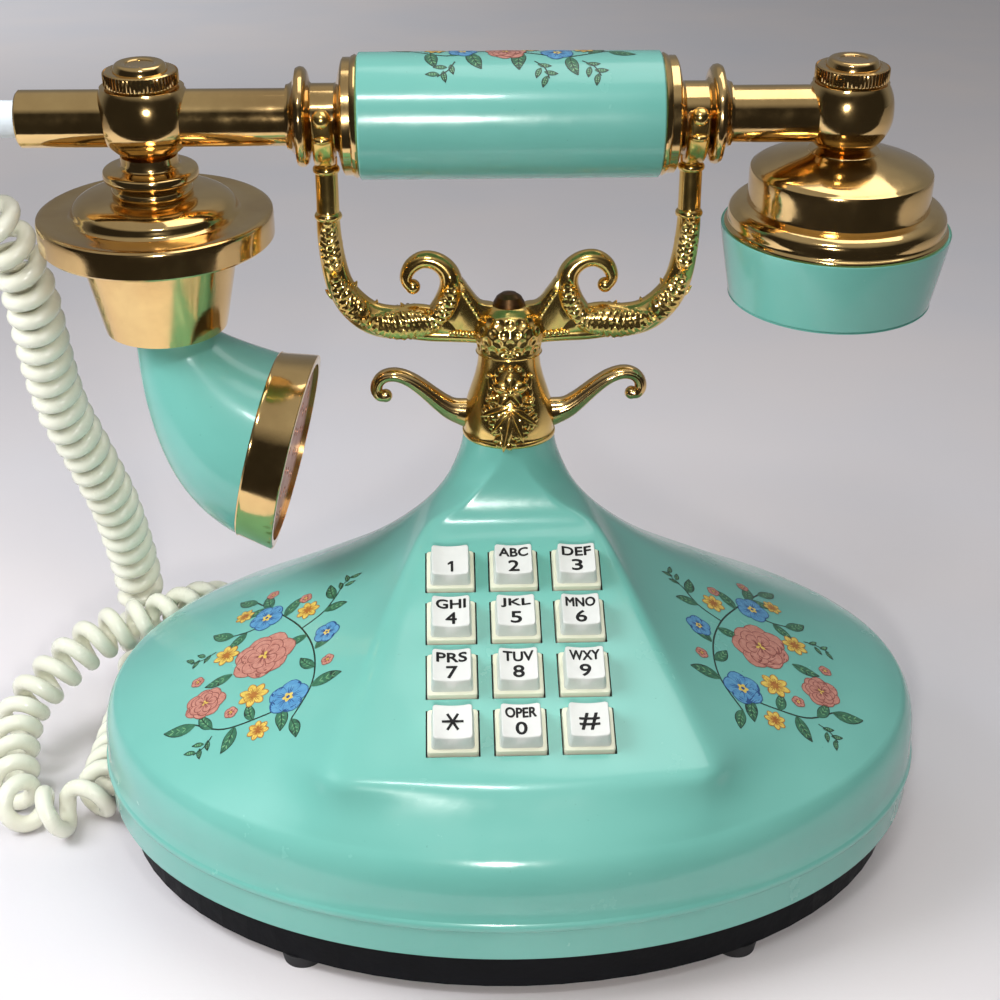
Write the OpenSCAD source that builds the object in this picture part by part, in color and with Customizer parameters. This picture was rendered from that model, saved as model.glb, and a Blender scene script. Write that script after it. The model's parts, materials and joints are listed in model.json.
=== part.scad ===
// French-cradle push-button telephone: oval flared body, gilt column and cradle, dish-and-horn handset.
// Millimetres, +Z up, front towards -Y. The origin is the middle of the base plate's underside.

/* [Body] */
// Width of the body over its bead
body_w = 234; // [226:1:244]
// Depth of the body over its bead
body_d = 184; // [178:1:192]
// Height of the bead above the base plate's underside
bead_h = 22.6; // [21:0.2:25]
// Height of the crease where the side wall turns into the wings
crease_h = 41; // [38:0.5:44]
// Height of the housing's lower lip
lip_h = 12.7; // [11.5:0.1:14]
// Height of the neck's top face
neck_h = 109.2; // [105:0.2:114]
// Diameter of the neck's top face
neck_d = 25.4; // [24.6:0.2:28]
// Distance of the neck behind the body's centre
neck_back = 16; // [14:0.5:18]
// Wall of the moulded housing
shell_t = 2.6; // [2.2:0.1:3]

/* [Base] */
// Inset of the base plate behind the housing's lip
plate_inset = 4.6; // [3.6:0.2:6]
// Thickness of the base plate's floor
plate_t = 3; // [2.5:0.1:4]
// Height of the rubber feet
foot_h = 4; // [3:0.2:6]
// Diameter of the rubber feet
foot_d = 12; // [9:0.5:14]
// Distance between the left and right feet
foot_span = 114; // [100:1:124]

/* [Keypad] */
// Distance from key to key
key_pitch = 17; // [16.6:0.1:17.6]
// Side of a key's square opening
key_open = 13.6; // [13:0.1:14.2]
// Gap between a key and its opening on each side
key_gap = 0.4; // [0.3:0.05:0.6]
// Height of the ivory skirt above the panel
skirt_h = 1.4; // [1:0.1:2]
// Height of the cap above its skirt
cap_h = 4.8; // [4:0.1:6]
// Width of the cap's foot
cap_w = 10.8; // [10:0.1:11.4]
// Width of the cap's top
cap_top_w = 9.8; // [9:0.1:10.4]
// Travel of a key
key_travel = 2.5; // [1.5:0.1:2.6]
// Slope of the keypad panel
panel_slope = 24.3; // [22:0.1:26]
// Half width of the keypad panel at its lower edge
panel_low_w = 48; // [44:1:52]
// Half width of the keypad panel at its top
panel_top_w = 26; // [23:1:29]

/* [Column and cradle] */
// Height of the column between the neck and the cradle's hub
column_h = 24; // [22:0.5:28]
// Diameter of the column's top
column_top_d = 16.8; // [16:0.2:18]
// Distance from the centre line to the middle of each fork
fork_x = 47.8; // [46.5:0.1:49]
// Height of the handset's axis above the neck
handset_rise = 88.5; // [86:0.5:92]
// Width of a fork along the handset
fork_w = 5.4; // [4.4:0.1:6]
// Travel of the cradle when the handset is lifted
cradle_travel = 5; // [3:0.5:6]
// Radius of the plunger rod
rod_r = 2.5; // [2:0.1:2.8]
// Radial clearance of a running fit
fit = 0.08; // [0.04:0.01:0.1]
// Gap between pieces that move past each other
gap = 0.3; // [0.25:0.05:0.4]

/* [Handset] */
// Outer diameter of the gilt tube
tube_d = 14.6; // [14:0.1:15.2]
// Distance from the centre line to the tube's left end
tube_left = 125.5; // [122:0.5:130]
// Length of the mint grip
grip_len = 77.4; // [75:0.2:79]
// Diameter of the mint grip
grip_d = 32.2; // [31:0.2:34]
// Distance from the centre line to the mouthpiece ball
ball_left_x = 93.5; // [91:0.5:96]
// Distance from the centre line to the receiver ball
ball_right_x = 88; // [86:0.5:91]
// Diameter of the gilt balls
ball_d = 22; // [21:0.2:23]
// Diameter of the knurled caps
cap_d = 18.8; // [18:0.2:19.6]
// Diameter of the mouthpiece dish
dish_d = 62; // [59:0.5:65]
// Diameter of the horn's mouth
horn_d = 52.8; // [51:0.2:55]
// Diameter of the receiver's mint cup
ear_d = 61; // [58:0.5:64]
// Lean of the hanging handset in its forks
handset_lean = 5; // [0:0.5:6]

/* [Cord] */
// Diameter of the cord
cord_d = 5; // [4.8:0.1:5.2]
// Outer diameter of the cord's curls
curl_d = 15.6; // [15:0.1:15.8]
// Advance of one curl in the hanging stretch
drop_pitch = 6.2; // [6.1:0.1:6.6]
// Advance of one curl round the tight bend on the table
bend_pitch = 12; // [11.6:0.2:12.6]
// Advance of one curl in the rest of the loop
loop_pitch = 7.8; // [7.6:0.1:8.2]

/* [Hidden] */
$fn = 72;

mint = "MediumAquamarine";
gilt = "Goldenrod";
ivory = "Ivory";
black = [0.08, 0.08, 0.09];
steel = "Silver";
board_green = [0.12, 0.4, 0.2];

neck_r = neck_d / 2;
hub_z = neck_h + column_h;
handset_z = neck_h + handset_rise;

// ---------- general shapes ----------

// One ring of n points about c, in the plane of the unit vectors u and v.
function oval(c, u, v, ru, rv, n) =
    [for (k = [0 : n - 1]) c + ru * cos(360 * k / n) * u + rv * sin(360 * k / n) * v];

function unit(v) = v / norm(v);

// Tangent at point i of a polyline.
function heading(p, i) = unit(p[min(i + 1, len(p) - 1)] - p[max(i - 1, 0)]);

// Point at share t of the quarter-point spline through four points.
function spline_point(a, b, c, d, t) =
    b + t / 2 * (c - a + t * (2 * a - 5 * b + 4 * c - d + t * (3 * (b - c) + d - a)));

// The polyline p made smooth, with n points to each span.
function smooth_line(p, n) = [
    for (i = [0 : len(p) - 2]) for (k = [0 : n - 1])
        spline_point(p[max(i - 1, 0)], p[i], p[i + 1], p[min(i + 2, len(p) - 1)], k / n),
    p[len(p) - 1]
];

// A closed skin of triangles over rings of equal length.
module skin(rings) {
    n = len(rings[0]);
    m = len(rings);
    sides = [
        for (i = [0 : m - 2]) for (k = [0 : n - 1])
            let (a = i * n + k, b = i * n + (k + 1) % n)
            each [[a, a + n, b], [b, a + n, b + n]]
    ];
    low = [for (k = [1 : n - 2]) [0, k, k + 1]];
    high = [for (k = [1 : n - 2]) [(m - 1) * n, (m - 1) * n + k + 1, (m - 1) * n + k]];
    polyhedron([for (r = rings) each r], concat(sides, low, high), convexity = 8);
}

// A bar along a line in the XZ plane: width[i] across the line, depth[i] along Y.
module scroll_bar(line, width, depth, sides) {
    skin([
        for (i = [0 : len(line) - 1])
            let (t = heading(line, i))
            oval(line[i], [0, 1, 0], [-t[2], 0, t[0]], depth[i] / 2, width[i] / 2, sides)
    ]);
}

// A tube along X between x0 and x1.
module tube_x(x0, x1, r) {
    translate([x0, 0, 0]) rotate([0, 90, 0]) cylinder(r = r, h = x1 - x0);
}

// ---------- body ----------

crease_drop = 4; // how far the crease lies inside the bead, each side
crease_a = body_w / 2 - crease_drop;
crease_b = body_d / 2 - crease_drop;
bead_r = 0.7;

// How far the side wall lies inside the bead, by height.
wall_inset = [
    [lip_h, 1], [bead_h - 3, 0.9], [bead_h - 2 * bead_r, 0.8], [bead_h - bead_r, 0], [bead_h + bead_r, 0],
    [bead_h + 2 * bead_r, 0.6], [crease_h - 9, 0.8], [crease_h - 5, 1.4], [crease_h - 2, 2.6],
    [crease_h, crease_drop]
];

// Profile of the wings: share of the height above the crease, share of the way out from the neck.
wing_profile = [
    [0, 1], [0.04, 0.95], [0.1, 0.85], [0.195, 0.7], [0.292, 0.55], [0.393, 0.4], [0.49, 0.28],
    [0.6, 0.172], [0.7, 0.098], [0.8, 0.048], [0.92, 0.012], [1, 0]
];

// The keypad panel: a flat facet that rises from its lower edge towards the neck.
panel_low_y = -(body_d / 2 - 17);
panel_low_z = crease_h + 14;
panel_len = 76;
panel_top_z = panel_low_z + panel_len * sin(panel_slope);
panel_margin = 6.8;
brow_power = 0.7; // roundness of the brow between the panel and the crease
brow_soft = 6; // and how softly its ends run out into the wings

function out_share(z) = lookup((z - crease_h) / (neck_h - crease_h), wing_profile);
function half_w(z) = z <= crease_h ? body_w / 2 - lookup(z, wall_inset)
    : neck_r + (crease_a - neck_r) * out_share(z);
function half_d(z) = z <= crease_h ? body_d / 2 - lookup(z, wall_inset)
    : neck_r + (crease_b - neck_r) * out_share(z);
function mid_y(z) = z <= crease_h ? 0 : neck_back * (1 - out_share(z));
function brow_share(z) = (z - crease_h) / (panel_low_z - crease_h);
// The panel's plane runs on in an arc that stands up into the neck's front.
neck_front = neck_back - neck_r;
panel_top_y = panel_low_y + panel_len * cos(panel_slope);
arc_z = panel_top_z + (neck_front - panel_top_y) * tan(panel_slope);
function arc_share(z) = let (a = panel_top_z - 2 * arc_z + neck_h, b = 2 * (arc_z - panel_top_z))
    (sqrt(b * b + 4 * a * (z - panel_top_z)) - b) / (2 * a);
function panel_y(z) =
    z > panel_top_z ? neck_front + (panel_top_y - neck_front) * pow(1 - arc_share(z), 2)
    : panel_low_y + (z - panel_low_z) / tan(panel_slope);
function panel_w(z) = lookup(z, [
    [panel_low_z, panel_low_w], [panel_top_z, panel_top_w], [panel_top_z + 7, 0.55 * panel_top_w],
    [panel_top_z + 14, 0.25 * panel_top_w], [neck_h, 0]
]);
function corner_angle(z) = let (at = max(z, panel_low_z)) max(20, atan2(panel_w(at), mid_y(at) - panel_y(at)));

// Polar radius of a level cut at angle g from the section's middle. Below the crease it is an
// ellipse. Along the panel, a flat front edge from -w to w and its two tangents widen the ellipse.
// The brow between them runs from the crease to the panel's foot in a convex arc.
function oval_r(a, b, g) = 1 / norm([cos(g) / a, sin(g) / b]);
function panel_r(z, g) =
    let (a = half_w(z), w = panel_w(z), f = mid_y(z) - panel_y(z), s = [abs(cos(g)), sin(g)],
         b = s[1] < 0 ? min(f, half_d(z)) : half_d(z), p = [w / a, -f / b], d = norm(p),
         touch = d > 1 ? atan2(p[1], p[0]) + acos(1 / d) : 0,
         along = atan2(s[1] / b, s[0] / a), corner = atan2(-f, w))
    w == 0 || d <= 1 ? oval_r(a, b, g)
    : atan2(s[1], s[0]) <= corner ? f / abs(s[1])
    : along < touch ? 1 / (s[0] * cos(touch) / a + s[1] * sin(touch) / b)
    : oval_r(a, b, g);
function brow_r(z, g) =
    let (level = oval_r(half_w(z), half_d(z), g), foot = panel_r(panel_low_z, g),
         foot_gain = foot - oval_r(half_w(panel_low_z), half_d(panel_low_z), g),
         rise = 1 - pow(1 - brow_share(z), brow_power),
         run = oval_r(crease_a, crease_b, g) * (1 - rise) + foot * rise)
    level + max(0, run - level) * pow(foot_gain / (foot_gain + brow_soft), 1 - brow_share(z));
function cut_r(z, g) = z >= panel_low_z ? panel_r(z, g)
    : z > crease_h ? brow_r(z, g) : oval_r(half_w(z), half_d(z), g);

front_steps = 8;
back_steps = 42;
function cut_angles(z) = let (c = corner_angle(z)) concat(
    [for (k = [0 : front_steps - 1]) -90 - c + 2 * c * k / front_steps],
    [for (k = [0 : back_steps - 1]) -90 + c + (360 - 2 * c) * k / back_steps]
);
// Level cut of the body at height z, drawn at height at_z and drawn in by inset.
function body_cut(z, at_z, inset) = [
    for (g = cut_angles(z)) let (r = cut_r(z, g) - inset) [r * cos(g), mid_y(z) + r * sin(g), at_z]
];

brow_levels = [for (s = [0.08, 0.2, 0.38, 0.6, 0.84]) crease_h + s * (panel_low_z - crease_h)];
panel_levels = [for (s = [0 : 0.125 : 1]) panel_low_z + s * (panel_top_z - panel_low_z)];
neck_levels = [for (s = [0.07, 0.16, 0.28, 0.44, 0.64, 0.84, 1]) panel_top_z + s * (neck_h - panel_top_z)];

module body_outside() {
    levels = concat([for (w = wall_inset) w[0]], brow_levels, panel_levels, neck_levels);
    skin([for (z = levels) body_cut(z, z, 0)]);
}
module body_hollow() {
    walls = [for (z = [lip_h, bead_h, crease_h - 5]) body_cut(z, z == lip_h ? lip_h - 1 : z, shell_t)];
    roof = [for (z = concat([crease_h], brow_levels, panel_levels, [neck_levels[0], neck_levels[1]]))
        body_cut(z, z - shell_t, shell_t)];
    skin(concat(walls, roof));
}

// Frame of the keypad panel: x across, y up the slope from the panel's lower edge, z outwards.
module on_panel() {
    translate([0, panel_low_y, panel_low_z]) rotate([panel_slope, 0, 0]) children();
}
function key_place(column, row) =
    [(column - 1) * key_pitch, panel_margin + key_open / 2 + row * key_pitch, 0];
module each_key() {
    for (column = [0 : 2]) for (row = [0 : 3]) translate(key_place(column, row)) children();
}

// Screw bosses under the roof.
boss_x = 62;
boss_y = 42;
boss_r = 4.5;
screw_r = 1.5;
screw_bite = 8; // how far a base screw reaches into its boss
module each_boss() {
    for (x = [-boss_x, boss_x]) for (y = [-boss_y, boss_y]) translate([x, y, 0]) children();
}
roof_t = shell_t * (sin(panel_slope) + cos(panel_slope));
stem_r = 6;
cord_exit_x = -34;
cord_exit_z = 5;
grommet_r = 3.6;
jack_x = 34;

module body_shell() {
    color(mint) difference() {
        body_outside();
        difference() {
            body_hollow();
            intersection() {
                body_outside();
                each_boss() cylinder(r = boss_r, h = neck_h);
            }
        }
        each_boss() cylinder(r = screw_r + fit, h = lip_h + screw_bite + 2);
        translate([0, neck_back, neck_h - 60]) cylinder(r = stem_r + fit, h = 70);
        on_panel() each_key() cube([key_open, key_open, 4 * roof_t], center = true);
    }
}

// ---------- base plate ----------

plate_a = body_w / 2 - 1 - plate_inset;
plate_b = body_d / 2 - 1 - plate_inset;
rim_gap = 0.4;
rim_a = body_w / 2 - 1 - shell_t - rim_gap;
rim_b = body_d / 2 - 1 - shell_t - rim_gap;
rim_h = lip_h + 4;
wall_in = 2.4;
foot_y = 68;
module oval_slab(a, b, z0, z1) {
    translate([0, 0, z0]) linear_extrude(z1 - z0)
        polygon([for (k = [0 : 71]) [a * cos(5 * k), b * sin(5 * k)]]);
}
// Height of the rear wall's face at x.
function plate_back_y(x) = plate_b * sqrt(1 - pow(x / plate_a, 2));

jack_w = 15;
jack_h = 8.6;
jack_d = 16;
module base_plate() {
    color(black) difference() {
        union() {
            oval_slab(plate_a, plate_b, 0, lip_h - 0.3);
            oval_slab(rim_a, rim_b, lip_h - 1.3, rim_h);
        }
        difference() {
            oval_slab(plate_a - wall_in, plate_b - wall_in, plate_t, rim_h + 1);
            each_boss() cylinder(r = boss_r, h = lip_h);
            board_posts();
            ringer_post();
        }
        // finger channels across the underside
        for (y = [-30, 30]) translate([-plate_a * 0.6, y - 3, -1]) cube([plate_a * 1.2, 6, 2.2]);
        each_boss() translate([0, 0, -1]) cylinder(r = screw_r + gap, h = lip_h + 2);
        each_boss() translate([0, 0, -1]) cylinder(r = 2.2 * screw_r + gap, h = 2.4);
        translate([cord_exit_x, grommet_y0 - gap, cord_exit_z]) rotate([-90, 0, 0])
            cylinder(r = grommet_r + gap, h = 24);
        translate([jack_x - jack_w / 2 - gap, plate_back_y(jack_x) - 9, plate_t])
            cube([jack_w + 2 * gap, 20, jack_h + 2 * gap]);
    }
}
module rubber_feet() {
    color([0.13, 0.13, 0.14])
    for (x = [-1, 1]) for (y = [-foot_y, foot_y])
        translate([x * foot_span / 2, y, -foot_h]) cylinder(d1 = foot_d - 1.6, d2 = foot_d, h = foot_h);
}
module base_screws() {
    color(steel) each_boss() difference() {
        union() {
            translate([0, 0, 0.1]) cylinder(r = 2.2 * screw_r, h = 1.3);
            cylinder(r = screw_r, h = lip_h + screw_bite);
        }
        translate([0, 0, -1]) linear_extrude(1.8) union() {
            square([3.6, 0.8], center = true);
            square([0.8, 3.6], center = true);
        }
    }
}

// ---------- inside the body ----------

board_z = 17;
board_t = 1.6;
board_x = 44;
board_y0 = -52;
board_y1 = 28;
post_r = 2.6;
module board_posts() {
    for (x = [-board_x + 5, board_x - 5]) for (y = [board_y0 + 5, board_y1 - 5])
        translate([x, y, 0]) cylinder(r = post_r, h = board_z);
}
module main_board() {
    color(board_green) translate([-board_x, board_y0, board_z])
        cube([2 * board_x, board_y1 - board_y0, board_t]);
    // coil, capacitors and terminal block soldered on
    color([0.15, 0.15, 0.15]) translate([0, 0, board_z + board_t]) {
        translate([-34, -40, 0]) cube([16, 14, 11]);
        translate([-6, -38, 0]) cylinder(d = 10, h = 14);
        translate([10, -38, 0]) cylinder(d = 8, h = 12);
        translate([24, -44, 0]) cube([12, 26, 7]);
    }
}

// hook switch under the plunger rod
switch_h = 12;
switch_w = 14;
switch_top = board_z + board_t + switch_h;
button_r = 2.2;
button_up = 6.4; // how far the button stands out while the handset hangs
rod_low = switch_top + button_up;
module hook_switch() {
    color("DimGray") translate([0, neck_back, board_z + board_t]) difference() {
        translate([-switch_w / 2, -switch_w / 2 + 1, 0]) cube([switch_w, switch_w - 4, switch_h]);
        translate([0, 0, 1.5]) cylinder(r = button_r + gap, h = switch_h);
    }
}
module switch_button() {
    color("White") translate([0, neck_back, board_z + board_t + 1.5 + gap])
        cylinder(r = button_r, h = rod_low - (board_z + board_t + 1.5 + gap));
}

// keypad: a guide frame hung from the panel and a board with domes below it
skirt_low = 1.2; // how far the skirt's flange reaches below the housing wall
frame_top = -(roof_t + skirt_low + key_travel + gap);
frame_t = 2;
pad_board_z = frame_top - frame_t - 5.4;
stem_w = 4.4;
pad_rim = 1;
pad_w = 2 * key_pitch + key_open + 2 * pad_rim + 0.4;
pad_len = 3 * key_pitch + key_open + 2 * pad_rim + 0.4;
pad_y = panel_margin + key_open / 2 + 1.5 * key_pitch;
dome_h = 0.8;
module pad_slab(z, t, w, len) {
    translate([-w / 2, pad_y - len / 2, z]) cube([w, len, t]);
}
module keypad_frame() {
    color("DimGray") on_panel() difference() {
        union() {
            pad_slab(frame_top - frame_t, frame_t, pad_w, pad_len);
            // rim up to the housing and rim down to the board
            difference() {
                pad_slab(pad_board_z + board_t, -roof_t - gap - pad_board_z - board_t, pad_w, pad_len);
                pad_slab(pad_board_z - 1, -pad_board_z + 1, pad_w - 2 * pad_rim, pad_len - 2 * pad_rim);
            }
        }
        each_key() translate([0, 0, frame_top - frame_t - 1])
            linear_extrude(frame_t + 2) square(stem_w + 2 * gap, center = true);
    }
}
module keypad_board() {
    on_panel() {
        color(board_green) pad_slab(pad_board_z, board_t, pad_w, pad_len);
        color("DarkSlateGray") each_key() translate([0, 0, pad_board_z + board_t]) cylinder(d = 7, h = dome_h);
    }
}
// One key: the flanged ivory skirt and stem, and the tapered cap.
module key_at(column, row) {
    stem_low = pad_board_z + board_t + dome_h + key_travel + gap;
    skirt_w = key_open - 2 * key_gap;
    color(ivory) on_panel() translate(key_place(column, row)) {
        translate([-skirt_w / 2, -skirt_w / 2, -roof_t - skirt_low])
            cube([skirt_w, skirt_w, roof_t + skirt_low + skirt_h]);
        translate([-stem_w / 2, -stem_w / 2, stem_low]) cube([stem_w, stem_w, -stem_low]);
        translate([0, 0, skirt_h]) difference() {
            linear_extrude(cap_h, scale = cap_top_w / cap_w) square(cap_w, center = true);
            // finger dish along the cap
            translate([0, 0, cap_h + 13.2]) rotate([90, 0, 0]) cylinder(r = 14, h = 20, center = true);
        }
    }
}

// bell ringer at the rear
ringer_y = plate_b - 30.4; // the ringer keeps its distance from the rear wall
gong_r = 17;
gong_x = 24;
gong_z = 16;
ringer_z = 10;
coil_r = 6;
coil_len = 18;
coil_back = 16; // how far the coil lies behind the gongs' line
strap_w = 24;
module ringer_post() {
    for (x = [-gong_x, 0, gong_x]) translate([x, ringer_y, 0]) cylinder(r = 3, h = ringer_z);
}
module ringer_bracket() {
    color(steel) difference() {
        union() {
            translate([-gong_x - 5, ringer_y - 6, ringer_z]) cube([2 * gong_x + 10, 12, 1.5]);
            for (x = [-gong_x, gong_x]) translate([x, ringer_y, ringer_z]) cylinder(r = 2, h = gong_z + 7.6);
            translate([0, ringer_y - 3, ringer_z]) cylinder(r = 1.4, h = 14);
        }
    }
}
module gong(side) {
    color("Silver") translate([side * gong_x, ringer_y, ringer_z + gong_z - 6]) rotate_extrude()
        polygon([
            [2.3, 12], [6, 12], [11, 10.4], [14.6, 7], [16.4, 2.5], [gong_r, 0], [gong_r - 1.2, 0],
            [15.2, 2.5], [13.5, 6.2], [10.3, 9.2], [6, 10.7], [2.3, 10.7]
        ]);
}
module ringer_coil() {
    color([0.55, 0.27, 0.1]) translate([0, ringer_y + coil_back, ringer_z + 1]) rotate([0, 90, 0])
        cylinder(r = coil_r, h = coil_len, center = true);
    color(steel) translate([-strap_w / 2, ringer_y + coil_r, ringer_z - 3]) cube([strap_w, 5, 3.4]);
}
module clapper() {
    color(steel) translate([0, ringer_y - 3, 0]) difference() {
        union() {
            translate([0, 0, ringer_z + 8]) cylinder(r = 3, h = 4);
            translate([-0.8, -12, ringer_z + 9]) cube([1.6, 11, 2]);
            translate([0, -12, ringer_z + 10]) sphere(r = 3.2, $fn = 32);
        }
        translate([0, 0, ringer_z + 7]) cylinder(r = 1.4 + fit, h = 6);
    }
}

// inlets at the rear
module line_jack() {
    y1 = plate_back_y(jack_x + jack_w / 2) + 0.6;
    color([0.15, 0.15, 0.16]) difference() {
        translate([jack_x - jack_w / 2, y1 - jack_d, plate_t]) cube([jack_w, jack_d, jack_h]);
        translate([jack_x - 3.4, y1 - jack_d + 4, plate_t + 1.2]) cube([6.8, jack_d, 6.2]);
    }
}
grommet_y0 = plate_b - 14;
grommet_y1 = plate_back_y(cord_exit_x) + 7;
grommet_seat = plate_back_y(cord_exit_x + grommet_r + 1) + gap; // where its flange clears the wall
module cord_grommet() {
    color([0.9, 0.88, 0.8]) translate([cord_exit_x, 0, cord_exit_z]) rotate([-90, 0, 0]) {
        translate([0, 0, grommet_y0]) cylinder(r = grommet_r, h = grommet_seat - grommet_y0);
        translate([0, 0, grommet_seat - 0.1])
            cylinder(r1 = grommet_r + 1, r2 = cord_d / 2 + 0.8, h = grommet_y1 - grommet_seat + 0.1);
    }
}

// ---------- column ----------

cavity_z = neck_h + 3; // floor of the column's spring chamber
cavity_r = 5.8;
hollow_top = neck_levels[1] - shell_t; // ceiling inside the housing, under the neck
nut_h = 5;
stem_low_z = hollow_top - nut_h - 1.5;
column_top_r = column_top_d / 2;
module column() {
    color(gilt) translate([0, neck_back, 0]) rotate_extrude() polygon([
        [rod_r + fit, stem_low_z], [stem_r, stem_low_z], [stem_r, neck_h], [neck_r, neck_h],
        [neck_r + 0.2, neck_h + 1], [neck_r, neck_h + 0.22 * column_h],
        [neck_r - 0.6, neck_h + 0.36 * column_h], [neck_r - 1.7, neck_h + 0.52 * column_h],
        [column_top_r + 1.2, neck_h + 0.7 * column_h], [column_top_r + 0.3, neck_h + 0.86 * column_h],
        [column_top_r, hub_z], [cavity_r, hub_z], [cavity_r, cavity_z], [rod_r + fit, cavity_z]
    ]);
}
module column_nut() {
    color(steel) translate([0, neck_back, hollow_top - nut_h]) difference() {
        cylinder(r = 10, h = nut_h, $fn = 6);
        translate([0, 0, -1]) cylinder(r = stem_r + fit, h = nut_h + 2);
    }
}

// Side arm: a flat scroll that leaves the column, dips, rises and curls over at its tip.
arm_root_z = neck_h + 6.5;
arm_root_x = neck_r - 0.9;
arm_line = [
    [0, 0, 0], [4, 0, -0.6], [8, 0, 1.2], [11.5, 0, 4.4], [15, 0, 8], [18.5, 0, 10.8], [22, 0, 11.8],
    [25, 0, 10.6], [26.4, 0, 8], [25.6, 0, 5.6], [23.6, 0, 5], [22.6, 0, 6.4]
];
arm_width = [10.5, 9.2, 7.4, 6, 5, 4.4, 4, 3.8, 3.6, 3.4, 3.2, 2];
arm_depth = [6.4, 6.2, 6, 5.6, 5.4, 5.2, 5.2, 5.2, 5.2, 5, 4.6, 3.6];
module side_arm(side) {
    color(gilt) translate([0, neck_back, arm_root_z]) mirror([side < 0 ? 1 : 0, 0, 0])
        translate([arm_root_x, 0, 0]) scroll_bar(arm_line, arm_width, arm_depth, 12);
}

// ---------- cradle ----------

cradle_gap = 0.1;
hub_h = 13;
hub_r = 9.3;
groove_r = 8.5; // waist of the spools
fork_in = groove_r + gap;
prong_t = 4;
prong_top = handset_z + 1.6;
fork_low = handset_z - fork_in - prong_t;
// Scrolled arm from the hub to the foot of the fork, as offsets from the centre line and the hub's foot.
bow_line = [
    [4, 0, 7], [10, 0, 6.2], [17, 0, 4.6], [25, 0, 4.6], [33, 0, 7.4], [39.5, 0, 12.4], [44.4, 0, 18.6],
    [47, 0, 26], [fork_x, 0, 34], [fork_x, 0, 42], [fork_x, 0, fork_low - hub_z + 2.5]
];
bow_width = [9, 6, 6.4, 7.6, 8.6, 8.4, 7.6, 6.8, 6.2, 6, 6];
bow_depth = [9, 7, 7, 7.4, 7.6, 7.6, 7, 6.4, 6, 6, 6];
// Inner scroll that springs from the bow beside the hub and curls outwards over it.
curl_line = [
    [7, 0, 7], [8.6, 0, 12], [10.2, 0, 17], [12.6, 0, 22], [16.4, 0, 26], [20.8, 0, 27.6], [25.2, 0, 26],
    [27.8, 0, 22.2], [27, 0, 18.6], [24, 0, 17], [21.4, 0, 18.6], [21.8, 0, 20.8]
];
curl_width = [8, 7.4, 7.2, 7, 6.6, 6, 5.2, 4.8, 4.4, 4, 3.6, 2.6];
curl_depth = [8, 7, 6.8, 6.6, 6.4, 6, 5.6, 5.4, 5.2, 5, 4.6, 3.6];
// Leafy stem that fills the corner between the bow and the scroll.
stem_line = [[19, 0, 6], [18.4, 0, 11], [16.6, 0, 16], [14.4, 0, 20]];
module half_cradle() {
    translate([0, neck_back, hub_z]) {
        scroll_bar(bow_line, bow_width, bow_depth, 10);
        scroll_bar(curl_line, curl_width, curl_depth, 10);
        scroll_bar(stem_line, [7, 6, 5, 3], [5, 5, 4.6, 3], 8);
    }
    translate([fork_x, neck_back, handset_z]) fork();
}
// U-shaped fork open upwards, with a ball on each prong.
module fork() {
    outer = fork_in + prong_t;
    rotate([90, 0, 90]) translate([0, 0, -fork_w / 2]) difference() {
        union() {
            cylinder(r = outer, h = fork_w);
            translate([-outer, 0, 0]) cube([2 * outer, prong_top - handset_z, fork_w]);
        }
        translate([0, 0, -1]) cylinder(r = fork_in, h = fork_w + 2);
        translate([-fork_in, 0, -1]) cube([2 * fork_in, outer + 1, fork_w + 2]);
        translate([-outer - 1, prong_top - handset_z, -1]) cube([2 * outer + 2, outer, fork_w + 2]);
    }
    for (s = [-1, 1]) translate([0, s * (fork_in + prong_t / 2 + 0.35), prong_top - handset_z])
        sphere(d = prong_t + 0.6, $fn = 32);
}
module cradle_yoke() {
    color(gilt) {
        translate([0, neck_back, hub_z + cradle_gap]) rotate_extrude() polygon([
            [0, 0], [column_top_r, 0], [column_top_r + 0.2, 1.4], [hub_r, 3.4], [hub_r + 0.2, 6.6],
            [hub_r - 0.8, 9.6], [hub_r - 2.8, hub_h - 1], [hub_r - 4.4, hub_h], [0, hub_h]
        ]);
        half_cradle();
        mirror([1, 0, 0]) half_cradle();
    }
}
module hub_finial() {
    color([0.25, 0.17, 0.08]) translate([0, neck_back, hub_z + cradle_gap + hub_h]) rotate_extrude()
        polygon([[0, 0], [4.4, 0], [4.2, 1.2], [3.4, 2.6], [2, 3.6], [0, 4]]);
}
clip_z = stem_low_z - cradle_travel - gap - 1;
module plunger_rod() {
    color(steel) translate([0, neck_back, rod_low]) difference() {
        cylinder(r = rod_r, h = hub_z + cradle_gap - rod_low);
        // groove for the clip
        translate([0, 0, clip_z - rod_low]) difference() {
            cylinder(r = rod_r + 1, h = 1);
            cylinder(r = rod_r - 0.5, h = 1);
        }
    }
}
module plunger_clip() {
    color("DimGray") translate([0, neck_back, clip_z + 0.05]) difference() {
        cylinder(r = stem_r - 0.6, h = 0.9);
        translate([0, 0, -1]) cylinder(r = rod_r - 0.45, h = 3);
        translate([-1.6, 0, -1]) cube([3.2, stem_r, 3]);
    }
}
module plunger_spring() {
    color(steel) translate([0, neck_back, cavity_z]) difference() {
        cylinder(r = cavity_r - gap, h = hub_z - cavity_z);
        translate([0, 0, -1]) cylinder(r = rod_r + gap + 0.5, h = hub_z);
    }
}

// ---------- handset ----------

tube_r = tube_d / 2;
tube_wall = 1.3;
grip_r = grip_d / 2;
ball_r = ball_d / 2;
cap_seat = 8.4; // height of a ball's flat top above the tube's axis
ball_foot = -9.4; // and of its flat bottom
spigot_r = grip_r - 2.8;
spigot_len = 5;
socket_x = ball_right_x + 3;
bush_r = 4.7;
bush_out = 5;

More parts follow.
